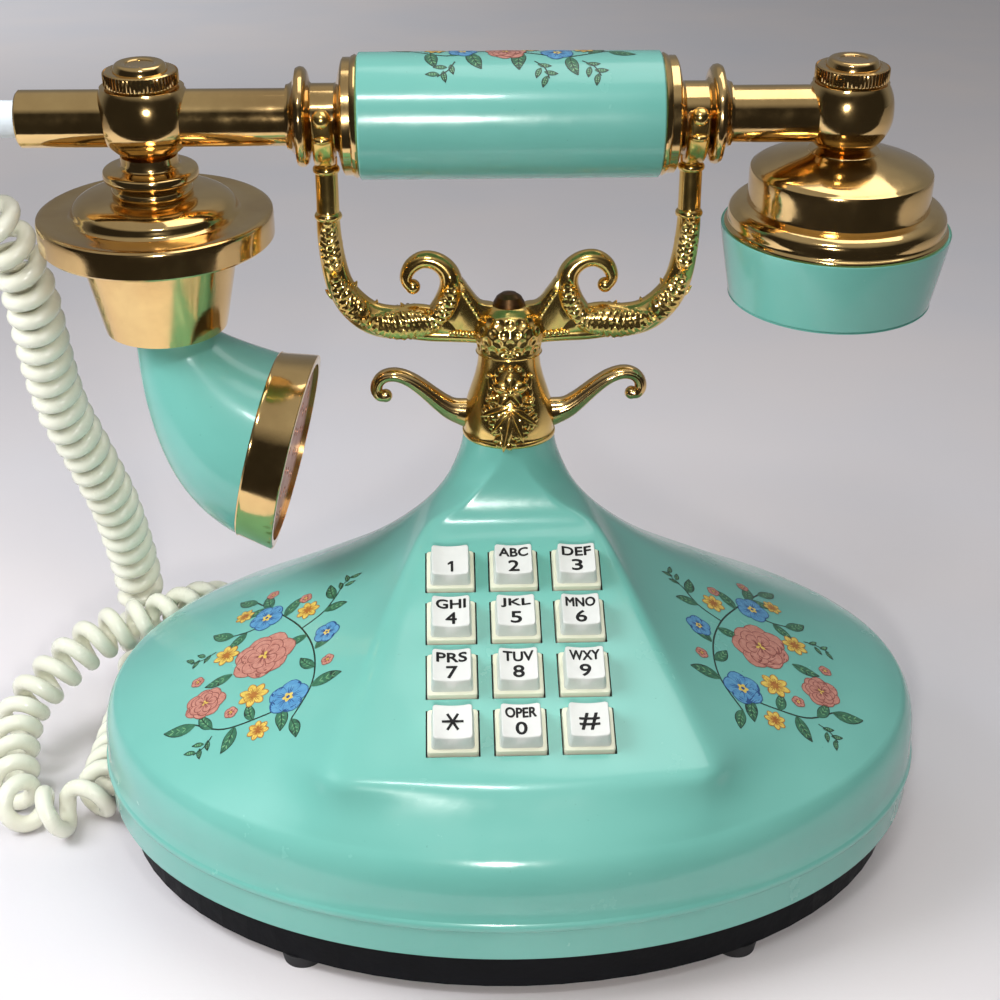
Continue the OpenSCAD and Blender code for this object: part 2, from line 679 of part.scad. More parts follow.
// Frame of the handset: x along the tube, leaning about the tube's axis.
module on_handset(x = 0) {
    translate([0, neck_back, handset_z]) rotate([handset_lean, 0, 0]) translate([x, 0, 0]) children();
}
module handset_tube() {
    color(gilt) on_handset() difference() {
        tube_x(-tube_left, socket_x - gap, tube_r);
        tube_x(-tube_left + 1.2, socket_x, tube_r - tube_wall);
        tube_x(-tube_left - 1, 0, bush_r + fit);
    }
}
module grip_sleeve() {
    color(mint) on_handset() difference() {
        tube_x(-grip_len / 2, grip_len / 2, grip_r);
        tube_x(-grip_len, grip_len, spigot_r + fit);
    }
}
// End spool: a spigot in the grip, a stepped ring, the groove that sits in the fork, and a flange.
module spool(side) {
    g0 = grip_len / 2;
    w0 = fork_x - fork_w / 2 - 0.5;
    w1 = fork_x + fork_w / 2 + 0.5;
    color(gilt) on_handset() mirror([side < 0 ? 1 : 0, 0, 0]) rotate([90, 0, 90]) rotate_extrude()
        polygon([
            [tube_r + fit, g0 - spigot_len], [spigot_r, g0 - spigot_len], [spigot_r, g0],
            [grip_r - 0.9, g0], [grip_r - 0.5, g0 + 0.8], [grip_r - 0.9, g0 + 1.6],
            [grip_r - 1.2, g0 + 1.9], [grip_r - 1.2, g0 + 3.8], [grip_r - 2.2, g0 + 4.4],
            [grip_r - 5, w0 - 0.8], [groove_r + 0.6, w0 - 0.3], [groove_r, w0 + 0.3],
            [groove_r, w1 - 0.3], [groove_r + 0.6, w1 + 0.2], [groove_r + 3, w1 + 0.8],
            [groove_r + 4, w1 + 1.6], [groove_r + 4.2, w1 + 2.6], [groove_r + 3.8, w1 + 3.6],
            [groove_r + 1.6, w1 + 4.2], [groove_r + 0.1, w1 + 5.2], [groove_r - 0.3, w1 + 6.2],
            [tube_r + fit, w1 + 6.2]
        ]);
}
module ball_blank() {
    intersection() {
        sphere(r = ball_r);
        translate([-ball_r, -ball_r, ball_foot]) cube([ball_d, ball_d, cap_seat - ball_foot]);
    }
}
module ball_left() {
    color(gilt) on_handset(-ball_left_x) difference() {
        ball_blank();
        tube_x(-ball_d, ball_d, tube_r + fit);
    }
}
module ball_right() {
    color(gilt) on_handset(ball_right_x) difference() {
        ball_blank();
        tube_x(-ball_d, socket_x - ball_right_x, tube_r + fit);
    }
}
knurls = 40;
module knurled_cap(x) {
    color(gilt) on_handset(x) translate([0, 0, cap_seat + 0.05]) {
        cylinder(r = cap_d / 2 - 0.9, h = 0.7);
        translate([0, 0, 0.6]) linear_extrude(3.4) polygon([
            for (k = [0 : 2 * knurls - 1]) (cap_d / 2 - 0.45 * (k % 2))
                * [cos(180 * k / knurls), sin(180 * k / knurls)]
        ]);
        translate([0, 0, 3.9]) rotate_extrude() polygon([
            [0, 0], [cap_d / 2 - 0.8, 0], [cap_d / 2 - 1.1, 0.5], [cap_d / 2 - 3.6, 0.9],
            [cap_d / 2 - 4.2, 0.5], [cap_d / 2 - 4.8, 0.9], [2.4, 1.9], [0, 2.1]
        ]);
    }
}

// mouthpiece, hung from the left ball
dish_r = dish_d / 2;
dish_z = -24.8; // top face of the dish's flange
cone_foot = -56.5;
cone_foot_r = 16.6;
cone_top_r = 22.4;
horn_neck_r = 8.8;
horn_wall = 1.6;
horn_dip = 13.2; // how far the mouth faces down
horn_turn = 6.5; // and how far it is turned towards the front
horn_r = horn_d / 2;
mouth_mid = [22.8, -93.6]; // centre of the horn's end, from the ball
horn_ring_w = 10.9;
horn_flare = 1.6; // how much the ring widens towards its front
module transmitter_stem() {
    color(gilt) on_handset(-ball_left_x) rotate_extrude() polygon([
        [0, ball_foot - 0.05], [7.4, ball_foot - 0.05], [7.7, -12], [9, -12.6], [11.8, -13], [12.4, -14],
        [12.2, -15.4], [10.4, -16.4], [9.6, -17], [10.4, -17.8], [10.6, -18.8], [10.2, -19.6], [0, -19.6]
    ]);
}
module transmitter_dish() {
    color(gilt) on_handset(-ball_left_x) rotate_extrude() polygon([
        [0, -19.65], [11, -19.65], [15, -20], [18.6, -20.8], [20.9, -22.2], [21.8, -24], [22.4, dish_z],
        [dish_r - 1.4, dish_z], [dish_r - 0.3, dish_z - 0.4], [dish_r, dish_z - 1.2],
        [dish_r, dish_z - 7], [dish_r - 0.6, dish_z - 7.6], [dish_r - 2.6, dish_z - 7.6],
        [dish_r - 2.6, dish_z - 2], [cone_top_r + 0.1, dish_z - 2], [20, -24.4], [17, -22.2],
        [0, -21.6]
    ]);
}
module cone_cup() {
    top = dish_z - 2.05;
    color(gilt) on_handset(-ball_left_x) rotate_extrude() polygon([
        [cone_top_r - 1.6, top], [cone_top_r + 0.6, top], [cone_top_r, top - 1.6],
        [cone_foot_r + 0.3, cone_foot + 1], [cone_foot_r - 0.3, cone_foot],
        [horn_neck_r + 0.3, cone_foot], [horn_neck_r + 0.3, cone_foot + 2],
        [cone_foot_r - 2, cone_foot + 2]
    ]);
}
module transmitter_capsule() {
    color("DimGray") on_handset(-ball_left_x) translate([0, 0, cone_foot + 14]) {
        cylinder(r = 17.1, h = 2);
        translate([0, 0, 2]) cylinder(r = 16.2, h = 12);
    }
}
function quad(a, b, c, t) = (1 - t) * (1 - t) * a + 2 * t * (1 - t) * b + t * t * c;
// The horn swells along two arcs, its outer and inner side lines; inset gives the bore.
horn_out_mid = [-10, -104.5];
horn_in_mid = [13.5, -63];
function horn_ring_pts(t, inset) =
    let (down = [sin(horn_dip), cos(horn_dip)],
         o = quad([-horn_neck_r, cone_foot], horn_out_mid, mouth_mid - horn_r * down, t),
         i = quad([horn_neck_r, cone_foot], horn_in_mid, mouth_mid + horn_r * down, t),
         c = (o + i) / 2, u = unit(i - o), r = norm(i - o) / 2 - inset)
    oval([c[0], 0, c[1]], [u[0], 0, u[1]], [0, -1, 0], r, r, 36);
// The skin of the horn, drawn in by inset. Its last ring is the mouth's edge, moved outwards by
// reach, so that the bore leaves through the mouth.
module horn_solid(inset, reach) {
    neck = oval([0, 0, cone_foot + 1.9 + reach], [1, 0, 0], [0, -1, 0],
        horn_neck_r - inset, horn_neck_r - inset, 36);
    over = reach * [cos(horn_dip), 0, -sin(horn_dip)];
    skin(concat([neck], [for (k = [0 : 9]) horn_ring_pts(k / 10, inset)],
        [[for (q = horn_ring_pts(1, inset)) q + over]]));
}
module on_horn() {
    on_handset(-ball_left_x) rotate([0, 0, -horn_turn]) children();
}
module horn() {
    color(mint) on_horn() difference() {
        horn_solid(0, 0);
        horn_solid(horn_wall, 1);
    }
}
// Frame of the horn's mouth, z outwards.
module on_mouth() {
    on_horn() translate([mouth_mid[0], 0, mouth_mid[1]]) rotate([0, 90 + horn_dip, 0]) children();
}
module horn_ring() {
    front_r = horn_r + horn_flare;
    color(gilt) on_mouth() rotate_extrude() polygon([
        [horn_r - 2.6, 0.05], [horn_r + 0.1, 0.05], [horn_r + 0.6, 0.8], [horn_r + 0.3, 1.6],
        [front_r + 0.3, horn_ring_w - 1], [front_r - 0.4, horn_ring_w], [front_r - 2.2, horn_ring_w],
        [front_r - 2.2, horn_ring_w - 2.4], [front_r - 4.4, horn_ring_w - 2.4],
        [front_r - 4.4, horn_ring_w - 3.6]
    ]);
}
module mouth_grille() {
    color([0.62, 0.4, 0.3]) on_mouth() translate([0, 0, horn_ring_w - 2.35]) difference() {
        cylinder(r = horn_r + horn_flare - 2.3, h = 1);
        for (ring = [1 : 3]) for (k = [0 : 6 * ring - 1]) rotate(60 * k / ring)
            translate([6.6 * ring, 0, -1]) cylinder(r = 1.3, h = 3, $fn = 16);
    }
}

// receiver, hung from the right ball
ear_r = ear_d / 2;
ear_top = -31;
ear_foot = -50.7;
module receiver_housing() {
    color(gilt) on_handset(ball_right_x) rotate_extrude() polygon([
        [0, ball_foot - 0.05], [8.6, ball_foot - 0.05], [10, -10], [16, -11.8], [22.4, -14], [23.8, -15],
        [24.1, -16], [24.1, -23.2], [24.7, -24], [27.4, -24.8], [28.8, -26.4], [29, -29.4],
        [ear_r - 0.7, -30.2], [ear_r - 0.7, ear_top], [ear_r - 2.6, ear_top], [27.4, -29],
        [22.4, -25], [22.4, -16], [10, -12], [0, -11.6]
    ]);
}
module ear_cup() {
    foot_r = ear_r - 2.9;
    color(mint) on_handset(ball_right_x) difference() {
        rotate_extrude() polygon([
            [0, ear_foot], [foot_r - 2, ear_foot], [foot_r - 0.5, ear_foot + 0.7], [foot_r, ear_foot + 2.2],
            [ear_r, ear_top - 1.2], [ear_r - 0.3, ear_top - 0.05], [ear_r - 2.4, ear_top - 0.05],
            [foot_r - 2.2, ear_foot + 2], [0, ear_foot + 2]
        ]);
        for (ring = [0 : 2]) for (k = [0 : max(6 * ring - 1, 0)]) rotate(60 * k / max(ring, 1))
            translate([5.4 * ring, 0, ear_foot - 1]) cylinder(r = 1.1, h = 4, $fn = 16);
    }
}
module receiver_capsule() {
    color("DimGray") on_handset(ball_right_x) translate([0, 0, ear_foot + 2.3]) {
        cylinder(r = ear_r - 6.2, h = 9);
        translate([0, 0, 9]) cylinder(r = ear_r - 12, h = 4);
    }
}

// ---------- cord ----------

module cord_bush() {
    color(ivory) on_handset() {
        tube_x(-tube_left + 1.3, -tube_left + 8, tube_r - tube_wall - fit);
        tube_x(-tube_left - bush_out, -tube_left + 2, bush_r);
    }
}

cord_r = cord_d / 2;
helix_r = (curl_d - cord_d) / 2;
floor_z = -foot_h;
curl_z = floor_z + curl_d / 2 + 0.2; // height of the curls' middle line where they lie down
lay_z = floor_z + cord_d / 2 + 0.2; // and of the plain cord
// Middle line of the cord from the handset's bush down to the table, round a loop at the left,
// and behind the body to the grommet.
cord_start = [-tube_left - bush_out, neck_back, handset_z];
cord_end = [cord_exit_x, grommet_y1, cord_exit_z];
cord_route = [
    cord_start, cord_start - [cord_d, 0, 0], [-141, 16.4, 195], [-143.6, 17.2, 187.6], [-141, 18.4, 179],
    [-136, 20, 169.6], [-132.6, 23, 158], [-131, 26.6, 146], [-130.8, 31, 133], [-130.6, 36, 120],
    [-129.4, 41, 107], [-126.6, 46, 95], [-123.6, 51, 82], [-121.2, 56, 70], [-120, 61.4, 57],
    [-119.4, 67.6, 43], [-119.6, 73, 29], [-119.8, 71, 14.6], [-119.8, 61.6, 5.6],
    [-119.4, 49, curl_z], [-119.4, 34, curl_z], [-119.8, 20, curl_z], [-120.2, 7, curl_z],
    [-122, -5.6, curl_z], [-130, -13.4, curl_z], [-140.2, -12, curl_z], [-146.6, -3.4, curl_z],
    [-148.8, 6, 4.8], [-150.6, 16, 7.4], [-150.4, 25.6, 11.4], [-147, 32, 15.6], [-141.6, 37, 19.6],
    [-136, 42, 23.2], [-129.8, 47, 26.2], [-122, 50.4, 28.6], [-113, 52.4, 30], [-104.6, 57.8, 30],
    [-97.6, 66.6, 27.6], [-91.4, 76, 21.6], [-84.6, 84.4, 14], [-76.4, 91, 7], [-67, 96, 1.6],
    [-57, 100, -1], [-47, 102, lay_z], [-39.4, 100.8, 0.6], [-35.4, 98, 3.8],
    cord_end + [0, cord_d, 0], cord_end
];
line_fine = 6;
line = smooth_line(cord_route, line_fine);
// distance along the line at each of its points
along = [for (i = 0, d = 0; i < len(line); i = i + 1,
    d = i < len(line) ? d + norm(line[i] - line[i - 1]) : d) d];
line_len = along[len(along) - 1];
// a side direction carried along the line without twist
side_dir = [for (i = 0, v = [0, 1, 0]; i < len(line); i = i + 1,
    v = i < len(line) ? let (t = heading(line, i)) unit(v - (v * t) * t) : v) v];
line_table = [for (c = [0 : 2]) [for (i = [0 : len(line) - 1]) [along[i], line[i][c]]]];
side_table = [for (c = [0 : 2]) [for (i = [0 : len(line) - 1]) [along[i], side_dir[i][c]]]];
function mid_at(s) = [for (c = [0 : 2]) lookup(s, line_table[c])];
function way_at(s) = unit(mid_at(min(s + 0.5, line_len)) - mid_at(max(s - 0.5, 0)));
// direction square to the line at distance s, turned by angle a
function out_at(s, a) =
    let (t = way_at(s), v = [for (c = [0 : 2]) lookup(s, side_table[c])], n = unit(v - (v * t) * t))
    cos(a) * n + sin(a) * cross(t, n);

curl_steps = 8;
ease_turns = 2.8; // turns over which the curls open out at each end
function mark_of(i) = along[i * line_fine]; // distance along the line at a route point
coil_start = mark_of(3) - 4;
coil_end = mark_of(41) + 2;
function pitch_at(s) = lookup(s, [
    [coil_start, 2.1 * drop_pitch], [mark_of(4), 1.6 * drop_pitch], [mark_of(5), 1.25 * drop_pitch],
    [mark_of(7), drop_pitch], [mark_of(14), drop_pitch],
    [mark_of(15.5), 1.36 * drop_pitch], [mark_of(18.5), 1.36 * drop_pitch], [mark_of(20), loop_pitch],
    [mark_of(22), loop_pitch], [mark_of(23), bend_pitch], [mark_of(26), bend_pitch],
    [mark_of(28), loop_pitch], [mark_of(39.5), loop_pitch], [coil_end, 1.7 * loop_pitch]
]);
function eased(x) = x <= 0 ? 0 : x >= 1 ? 1 : x * x * (3 - 2 * x);
function curl_reach(s) = helix_r
    * eased(min((s - coil_start) / drop_pitch, (coil_end - s) / loop_pitch) / ease_turns);
// stations: distance along the line and angle round it
coil_marks = [for (i = 0, s = coil_start; s < coil_end; i = i + 1, s = s + pitch_at(s) / curl_steps)
    [s, 360 * i / curl_steps]];
last_turn = coil_marks[len(coil_marks) - 1][1];
marks = concat(
    [for (s = [cord_d + 3 : 3.6 : coil_start - 1]) [s, 0]],
    coil_marks,
    [for (s = [coil_end + 2 : 5.2 : line_len - cord_d - 3]) [s, last_turn]]
);
cord_path = concat(
    [cord_start, cord_start - [cord_d, 0, 0]],
    [for (m = marks) mid_at(m[0]) + curl_reach(m[0]) * out_at(m[0], m[1])],
    [cord_end + [0, cord_d, 0], cord_end]
);
cord_side = concat([out_at(0, 0), out_at(0, 0)], [for (m = marks) out_at(m[0], m[1])],
    [out_at(line_len, last_turn), out_at(line_len, last_turn)]);
module handset_cord() {
    color(ivory) skin([
        for (i = [0 : len(cord_path) - 1])
            let (t = heading(cord_path, i), u = unit(cord_side[i] - (cord_side[i] * t) * t))
            oval(cord_path[i], u, cross(t, u), cord_r, cord_r, 6)
    ]);
}
// least gaps between curls, counting only points that the cord's own length keeps well apart
last_i = len(cord_path) - 1;
wire = [for (i = 0, d = 0; i <= last_i; i = i + 1,
    d = i <= last_i ? d + norm(cord_path[i] - cord_path[i - 1]) : d) d];
curl_gap = min([for (i = [0 : last_i - 5]) for (j = [i + 5 : min(i + 12, last_i)])
    if (wire[j] - wire[i] > 3 * cord_d) norm(cord_path[j] - cord_path[i])]) - cord_d;
loop_gap = min([for (i = [0 : 4 : last_i - 32]) for (j = [i + 32 : 4 : last_i])
    norm(cord_path[j] - cord_path[i])]) - cord_d;
echo(middle_line = line_len, wire_length = wire[last_i], curls = last_turn / 360, curl_gap = curl_gap, loop_gap = loop_gap);

// ---------- named sub-parts ----------

module side_arm_left() {
    side_arm(-1);
}
module side_arm_right() {
    side_arm(1);
}
module ringer_gong_left() {
    gong(-1);
}
module ringer_gong_right() {
    gong(1);
}
module spool_left() {
    spool(-1);
}
module spool_right() {
    spool(1);
}
module cap_left() {
    knurled_cap(-ball_left_x);
}
module cap_right() {
    knurled_cap(ball_right_x);
}
module key_1() {
    key_at(0, 3);
}
module key_2() {
    key_at(1, 3);
}
module key_3() {
    key_at(2, 3);
}
module key_4() {
    key_at(0, 2);
}
module key_5() {
    key_at(1, 2);
}
module key_6() {
    key_at(2, 2);
}
module key_7() {
    key_at(0, 1);
}
module key_8() {
    key_at(1, 1);
}
module key_9() {
    key_at(2, 1);
}
module key_star() {
    key_at(0, 0);
}
module key_0() {
    key_at(1, 0);
}
module key_hash() {
    key_at(2, 0);
}

body_shell();
base_plate();
rubber_feet();
base_screws();
column();
column_nut();
side_arm_left();
side_arm_right();
keypad_frame();
keypad_board();
main_board();
hook_switch();
ringer_bracket();
ringer_coil();
ringer_gong_left();
ringer_gong_right();
clapper();
line_jack();
cord_grommet();
handset_cord();
cradle_yoke();
hub_finial();
plunger_rod();
plunger_clip();
plunger_spring();
switch_button();
handset_tube();
grip_sleeve();
spool_left();
spool_right();
ball_left();
ball_right();
cap_left();
cap_right();
transmitter_stem();
transmitter_dish();
cone_cup();
horn();
horn_ring();
mouth_grille();
transmitter_capsule();
receiver_housing();
ear_cup();
receiver_capsule();
cord_bush();
key_1();
key_2();
key_3();
key_4();
key_5();
key_6();
key_7();
key_8();
key_9();
key_star();
key_0();
key_hash();
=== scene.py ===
"""Looks of the French-cradle push-button telephone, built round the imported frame.

Lengths are written in millimetres in the row's frame and turned into metres where meshes are made.
"""

import json
import math

import bpy
import numpy as np
from mathutils import Matrix, Vector
from mathutils.bvhtree import BVHTree

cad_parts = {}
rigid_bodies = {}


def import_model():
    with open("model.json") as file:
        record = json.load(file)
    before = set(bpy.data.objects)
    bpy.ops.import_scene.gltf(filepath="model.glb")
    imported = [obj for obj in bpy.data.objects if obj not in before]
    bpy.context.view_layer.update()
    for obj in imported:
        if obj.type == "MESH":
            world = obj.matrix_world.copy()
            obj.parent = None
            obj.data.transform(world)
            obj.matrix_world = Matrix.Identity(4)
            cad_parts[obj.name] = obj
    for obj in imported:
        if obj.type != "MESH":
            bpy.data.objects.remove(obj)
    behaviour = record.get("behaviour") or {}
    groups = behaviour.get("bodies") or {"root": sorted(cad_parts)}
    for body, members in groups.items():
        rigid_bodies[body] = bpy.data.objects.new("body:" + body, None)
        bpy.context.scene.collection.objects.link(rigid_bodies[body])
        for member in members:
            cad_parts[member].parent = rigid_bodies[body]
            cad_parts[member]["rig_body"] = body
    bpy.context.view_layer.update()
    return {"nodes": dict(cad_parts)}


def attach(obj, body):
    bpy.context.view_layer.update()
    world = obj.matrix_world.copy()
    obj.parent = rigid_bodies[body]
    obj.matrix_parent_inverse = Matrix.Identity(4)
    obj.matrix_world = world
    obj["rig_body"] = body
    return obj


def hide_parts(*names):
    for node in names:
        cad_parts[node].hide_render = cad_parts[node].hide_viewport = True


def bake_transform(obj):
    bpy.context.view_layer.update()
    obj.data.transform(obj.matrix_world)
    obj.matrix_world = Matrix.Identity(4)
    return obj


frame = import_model()
MM = 0.001

FLOOR_Z = -4  # the feet stand this far under the base

# ---------- camera ----------

FOCAL_PX = 1640  # focal length in pixels of the 1000-pixel frame
SENSOR = 36
PITCH = 25.4  # degrees down
TURN = 2.0  # the phone stands turned this far; the camera goes round it instead
EYE = (-3, -409, 289.6)


def spun(p, degrees):
    a = math.radians(degrees)
    return (p[0] * math.cos(a) - p[1] * math.sin(a), p[0] * math.sin(a) + p[1] * math.cos(a), p[2])


cam_data = bpy.data.cameras.new("camera")
cam_data.sensor_width = SENSOR
cam_data.lens = SENSOR * FOCAL_PX / 1000
cam_data.clip_start = 0.01
camera = bpy.data.objects.new("camera", cam_data)
bpy.context.scene.collection.objects.link(camera)
camera.location = Vector(spun(EYE, -TURN)) * MM
camera.rotation_euler = (math.radians(90 - PITCH), 0, math.radians(-TURN))
bpy.context.scene.camera = camera

# ---------- meshes ----------


def add_object(name, data):
    obj = bpy.data.objects.new(name, data)
    bpy.context.scene.collection.objects.link(obj)
    return obj


def make_mesh(name, verts, faces, mats, sharp=35, face_mats=None):
    """A mesh object from points in millimetres, shaded smooth below the sharp angle."""
    mesh = bpy.data.meshes.new(name)
    mesh.from_pydata([tuple(c * MM for c in v) for v in verts], [], faces)
    mesh.validate()
    for m in mats:
        mesh.materials.append(m)
    if face_mats is not None:
        mesh.polygons.foreach_set("material_index", face_mats)
    mesh.polygons.foreach_set("use_smooth", [True] * len(mesh.polygons))
    mesh.set_sharp_from_angle(angle=math.radians(sharp))
    mesh.update()
    return add_object(name, mesh)


def piece(obj, body, slot, *replaced):
    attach(obj, body)
    if replaced:
        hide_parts(*replaced)
    return obj


class Build:
    """Collects points and faces of several closed forms for one mesh."""

    def __init__(self):
        self.verts = []
        self.faces = []
        self.mats = []

    def add(self, verts, faces, mat=0):
        base = len(self.verts)
        self.verts += [tuple(v) for v in verts]
        self.faces += [[base + i for i in f] for f in faces]
        self.mats += [mat] * len(faces)

    def rings(self, rings, mat=0):
        n, m = len(rings[0]), len(rings)
        faces = [
            (i * n + k, i * n + (k + 1) % n, (i + 1) * n + (k + 1) % n, (i + 1) * n + k)
            for i in range(m - 1)
            for k in range(n)
        ]
        faces += [list(range(n))[::-1], [(m - 1) * n + k for k in range(n)]]
        self.add([p for r in rings for p in r], faces, mat)

    def loop(self, rings):
        """Rings whose last one joins the first, as in a hollow turned form."""
        n, m = len(rings[0]), len(rings)
        self.add([p for r in rings for p in r],
                 [(i * n + k, i * n + (k + 1) % n, (i + 1) % m * n + (k + 1) % n, (i + 1) % m * n + k)
                  for i in range(m) for k in range(n)])

    def move(self, matrix):
        self.verts = [tuple(p) for p in moved(matrix, self.verts)]

    def make(self, name, mats, sharp=35):
        return make_mesh(name, self.verts, self.faces, mats, sharp, self.mats)


def unit(v):
    v = np.asarray(v, float)
    return v / np.linalg.norm(v)


def smooth_line(p, n):
    """Quarter-point spline through the points of p (rows of any width), n points to a span."""
    p = [np.asarray(q, float) for q in p]
    out = []
    for i in range(len(p) - 1):
        a, b, c, d = p[max(i - 1, 0)], p[i], p[i + 1], p[min(i + 2, len(p) - 1)]
        for k in range(n):
            t = k / n
            out.append(b + t / 2 * (c - a + t * (2 * a - 5 * b + 4 * c - d + t * (3 * (b - c) + d - a))))
    return np.array(out + [p[-1]])


def headings(p):
    p = np.asarray(p, float)
    d = np.empty_like(p)
    d[1:-1] = p[2:] - p[:-2]
    d[0], d[-1] = p[1] - p[0], p[-1] - p[-2]
    return d / np.linalg.norm(d, axis=1)[:, None]


def oval(c, u, v, ru, rv, n):
    a = np.arange(n) * 2 * math.pi / n
    return c + np.cos(a)[:, None] * ru * np.asarray(u) + np.sin(a)[:, None] * rv * np.asarray(v)


def lathe_rings(profile, n=96):
    a = np.arange(n) * 2 * math.pi / n
    return [np.stack([max(r, 1e-3) * np.cos(a), max(r, 1e-3) * np.sin(a), np.full(n, z)], 1) for r, z in profile]


# ---------- materials ----------


def linear(*rgb):
    """A linear colour from sRGB values of 0 to 255."""
    return [c / 255 / 12.92 if c <= 10 else ((c / 255 + 0.055) / 1.055) ** 2.4 for c in rgb]


def feed(tree, socket, value):
    """Links a node's output to a socket, or writes a constant there."""
    if isinstance(value, bpy.types.NodeSocket):
        tree.links.new(value, socket)
    else:
        socket.default_value = value


def add_node(tree, kind, **sockets):
    """A node whose sockets are named with _ for each space."""
    n = tree.nodes.new(kind)
    for key, value in sockets.items():
        feed(tree, n.inputs[key.replace("_", " ")], value)
    return n


def mix_colors(tree, fac, a, b):
    m = tree.nodes.new("ShaderNodeMix")
    m.data_type = "RGBA"
    feed(tree, m.inputs[0], fac)
    for socket, color in ((m.inputs[6], a), (m.inputs[7], b)):
        feed(tree, socket, color if isinstance(color, bpy.types.NodeSocket) else (*color, 1))
    return m.outputs[2]


class Paint:
    """A principled material with short calls for its nodes."""

    def __init__(self, name, color, rough, metallic=0.0, coat=0.0, spec=0.5, coat_rough=0.04):
        self.mat = bpy.data.materials.new(name)
        self.mat.use_nodes = True
        self.tree = self.mat.node_tree
        self.bsdf = self.tree.nodes["Principled BSDF"]
        self.set("Base Color", (*color, 1))
        self.set("Roughness", rough)
        self.set("Metallic", metallic)
        self.set("Coat Weight", coat)
        self.set("Coat Roughness", coat_rough)
        self.set("Specular IOR Level", spec)
        self.at = self.node("ShaderNodeTexCoord").outputs["Object"]

    def set(self, socket, value):
        self.bsdf.inputs[socket].default_value = value

    def node(self, kind, **sockets):
        return add_node(self.tree, kind, **sockets)

    def noise(self, scale, detail=4.0):
        n = self.node("ShaderNodeTexNoise", Vector=self.at, Scale=scale, Detail=detail, Roughness=0.6)
        return n.outputs["Fac"]

    def ramp(self, fac, *stops):
        """stops are (position, value) or (position, (r, g, b))."""
        r = self.tree.nodes.new("ShaderNodeValToRGB")
        self.tree.links.new(fac, r.inputs["Fac"])
        e = r.color_ramp.elements
        while len(e) < len(stops):
            e.new(0.5)
        for el, (pos, val) in zip(e, stops):
            el.position = pos
            el.color = (*val, 1) if hasattr(val, "__len__") else (val, val, val, 1)
        return r.outputs["Color"]

    def mix(self, fac, a, b):
        return mix_colors(self.tree, fac, a, b)

    def link(self, out, socket):
        self.tree.links.new(out, self.bsdf.inputs[socket])

    def bump(self, height, strength, distance):
        b = self.node("ShaderNodeBump", Height=height, Strength=strength, Distance=distance)
        self.link(b.outputs["Normal"], "Normal")


def mint_paint():
    m = Paint("mint_gloss", linear(113, 181, 169), 0.2, coat=0.3, coat_rough=0.05)
    cloud = m.noise(18, 3)
    base = m.mix(m.ramp(cloud, (0.35, 0.0), (0.7, 1.0)), linear(108, 177, 165), linear(117, 185, 173))
    speck = m.ramp(m.noise(900, 2), (0.74, 0.0), (0.79, 0.6))
    base = m.mix(speck, base, linear(88, 140, 128))
    m.link(base, "Base Color")
    m.link(m.ramp(m.noise(60, 5), (0.3, 0.15), (0.75, 0.3)), "Roughness")
    m.bump(m.noise(240, 3), 0.03, 0.001)
    return m.mat


def gilt_paint(name, color, dark, rough=0.09):
    m = Paint(name, color, rough, metallic=1.0)
    cloud = m.ramp(m.noise(45, 5), (0.35, 0.0), (0.75, 1.0))
    m.link(m.mix(cloud, color, dark), "Base Color")
    m.link(m.ramp(m.noise(130, 6), (0.4, rough), (0.8, rough + 0.14)), "Roughness")
    m.bump(m.noise(160, 4), 0.05, 0.0006)
    return m.mat


def plain_paint(name, color, other, rough, scale=40, bump=0.05, metallic=0.0, coat=0.0, grain=300, spec=0.5):
    m = Paint(name, color, rough, metallic=metallic, coat=coat, spec=spec)
    m.link(m.mix(m.ramp(m.noise(scale, 5), (0.35, 0.0), (0.7, 1.0)), color, other), "Base Color")
    m.link(m.ramp(m.noise(scale * 2, 4), (0.3, rough), (0.8, min(1, rough + 0.15))), "Roughness")
    m.bump(m.noise(grain, 3), bump, 0.001)
    return m.mat


MINT = mint_paint()
GILT = gilt_paint("gilt_plate", (0.86, 0.6, 0.26), (0.66, 0.43, 0.18))
CAST_GILT = gilt_paint("gilt_casting", (0.93, 0.66, 0.22), (0.72, 0.45, 0.13), 0.16)
ROSE = plain_paint("rose_grille", (0.62, 0.3, 0.2), (0.5, 0.22, 0.14), 0.34, metallic=1.0)
DARK_GILT = plain_paint("dark_gilt", (0.2, 0.11, 0.05), (0.1, 0.05, 0.02), 0.3, metallic=1.0)
WHITE = plain_paint("bush_white", linear(226, 234, 240), linear(210, 222, 230), 0.3)
IVORY = plain_paint("cord_ivory", linear(238, 238, 222), linear(226, 224, 204), 0.22, scale=30, bump=0.04, coat=0.3)
CAP = plain_paint("key_cap_white", linear(218, 220, 216), linear(208, 210, 206), 0.3, scale=120)
SKIRT = plain_paint("key_skirt_ivory", linear(222, 224, 202), linear(212, 212, 188), 0.35, scale=60)
BLACK = plain_paint("base_black", linear(8, 9, 12), linear(15, 16, 20), 0.48, scale=120, bump=0.15, spec=0.12)
RUBBER = plain_paint("foot_rubber", linear(24, 24, 26), linear(40, 40, 42), 0.7)
STEEL = plain_paint("steel", (0.56, 0.56, 0.57), (0.4, 0.4, 0.41), 0.25, metallic=1.0)
BELL = plain_paint("bell_metal", (0.72, 0.68, 0.6), (0.6, 0.55, 0.46), 0.2, metallic=1.0)
COPPER = plain_paint("winding", (0.55, 0.22, 0.1), (0.4, 0.14, 0.06), 0.35, metallic=0.8, grain=2500, bump=0.4)
BOARD = plain_paint("circuit_board", linear(28, 92, 58), linear(20, 70, 44), 0.45, scale=400)
GREY = plain_paint("grey_plastic", linear(70, 72, 76), linear(58, 60, 64), 0.5)
INK = plain_paint("legend_ink", linear(8, 8, 10), linear(16, 16, 18), 0.6, scale=200)
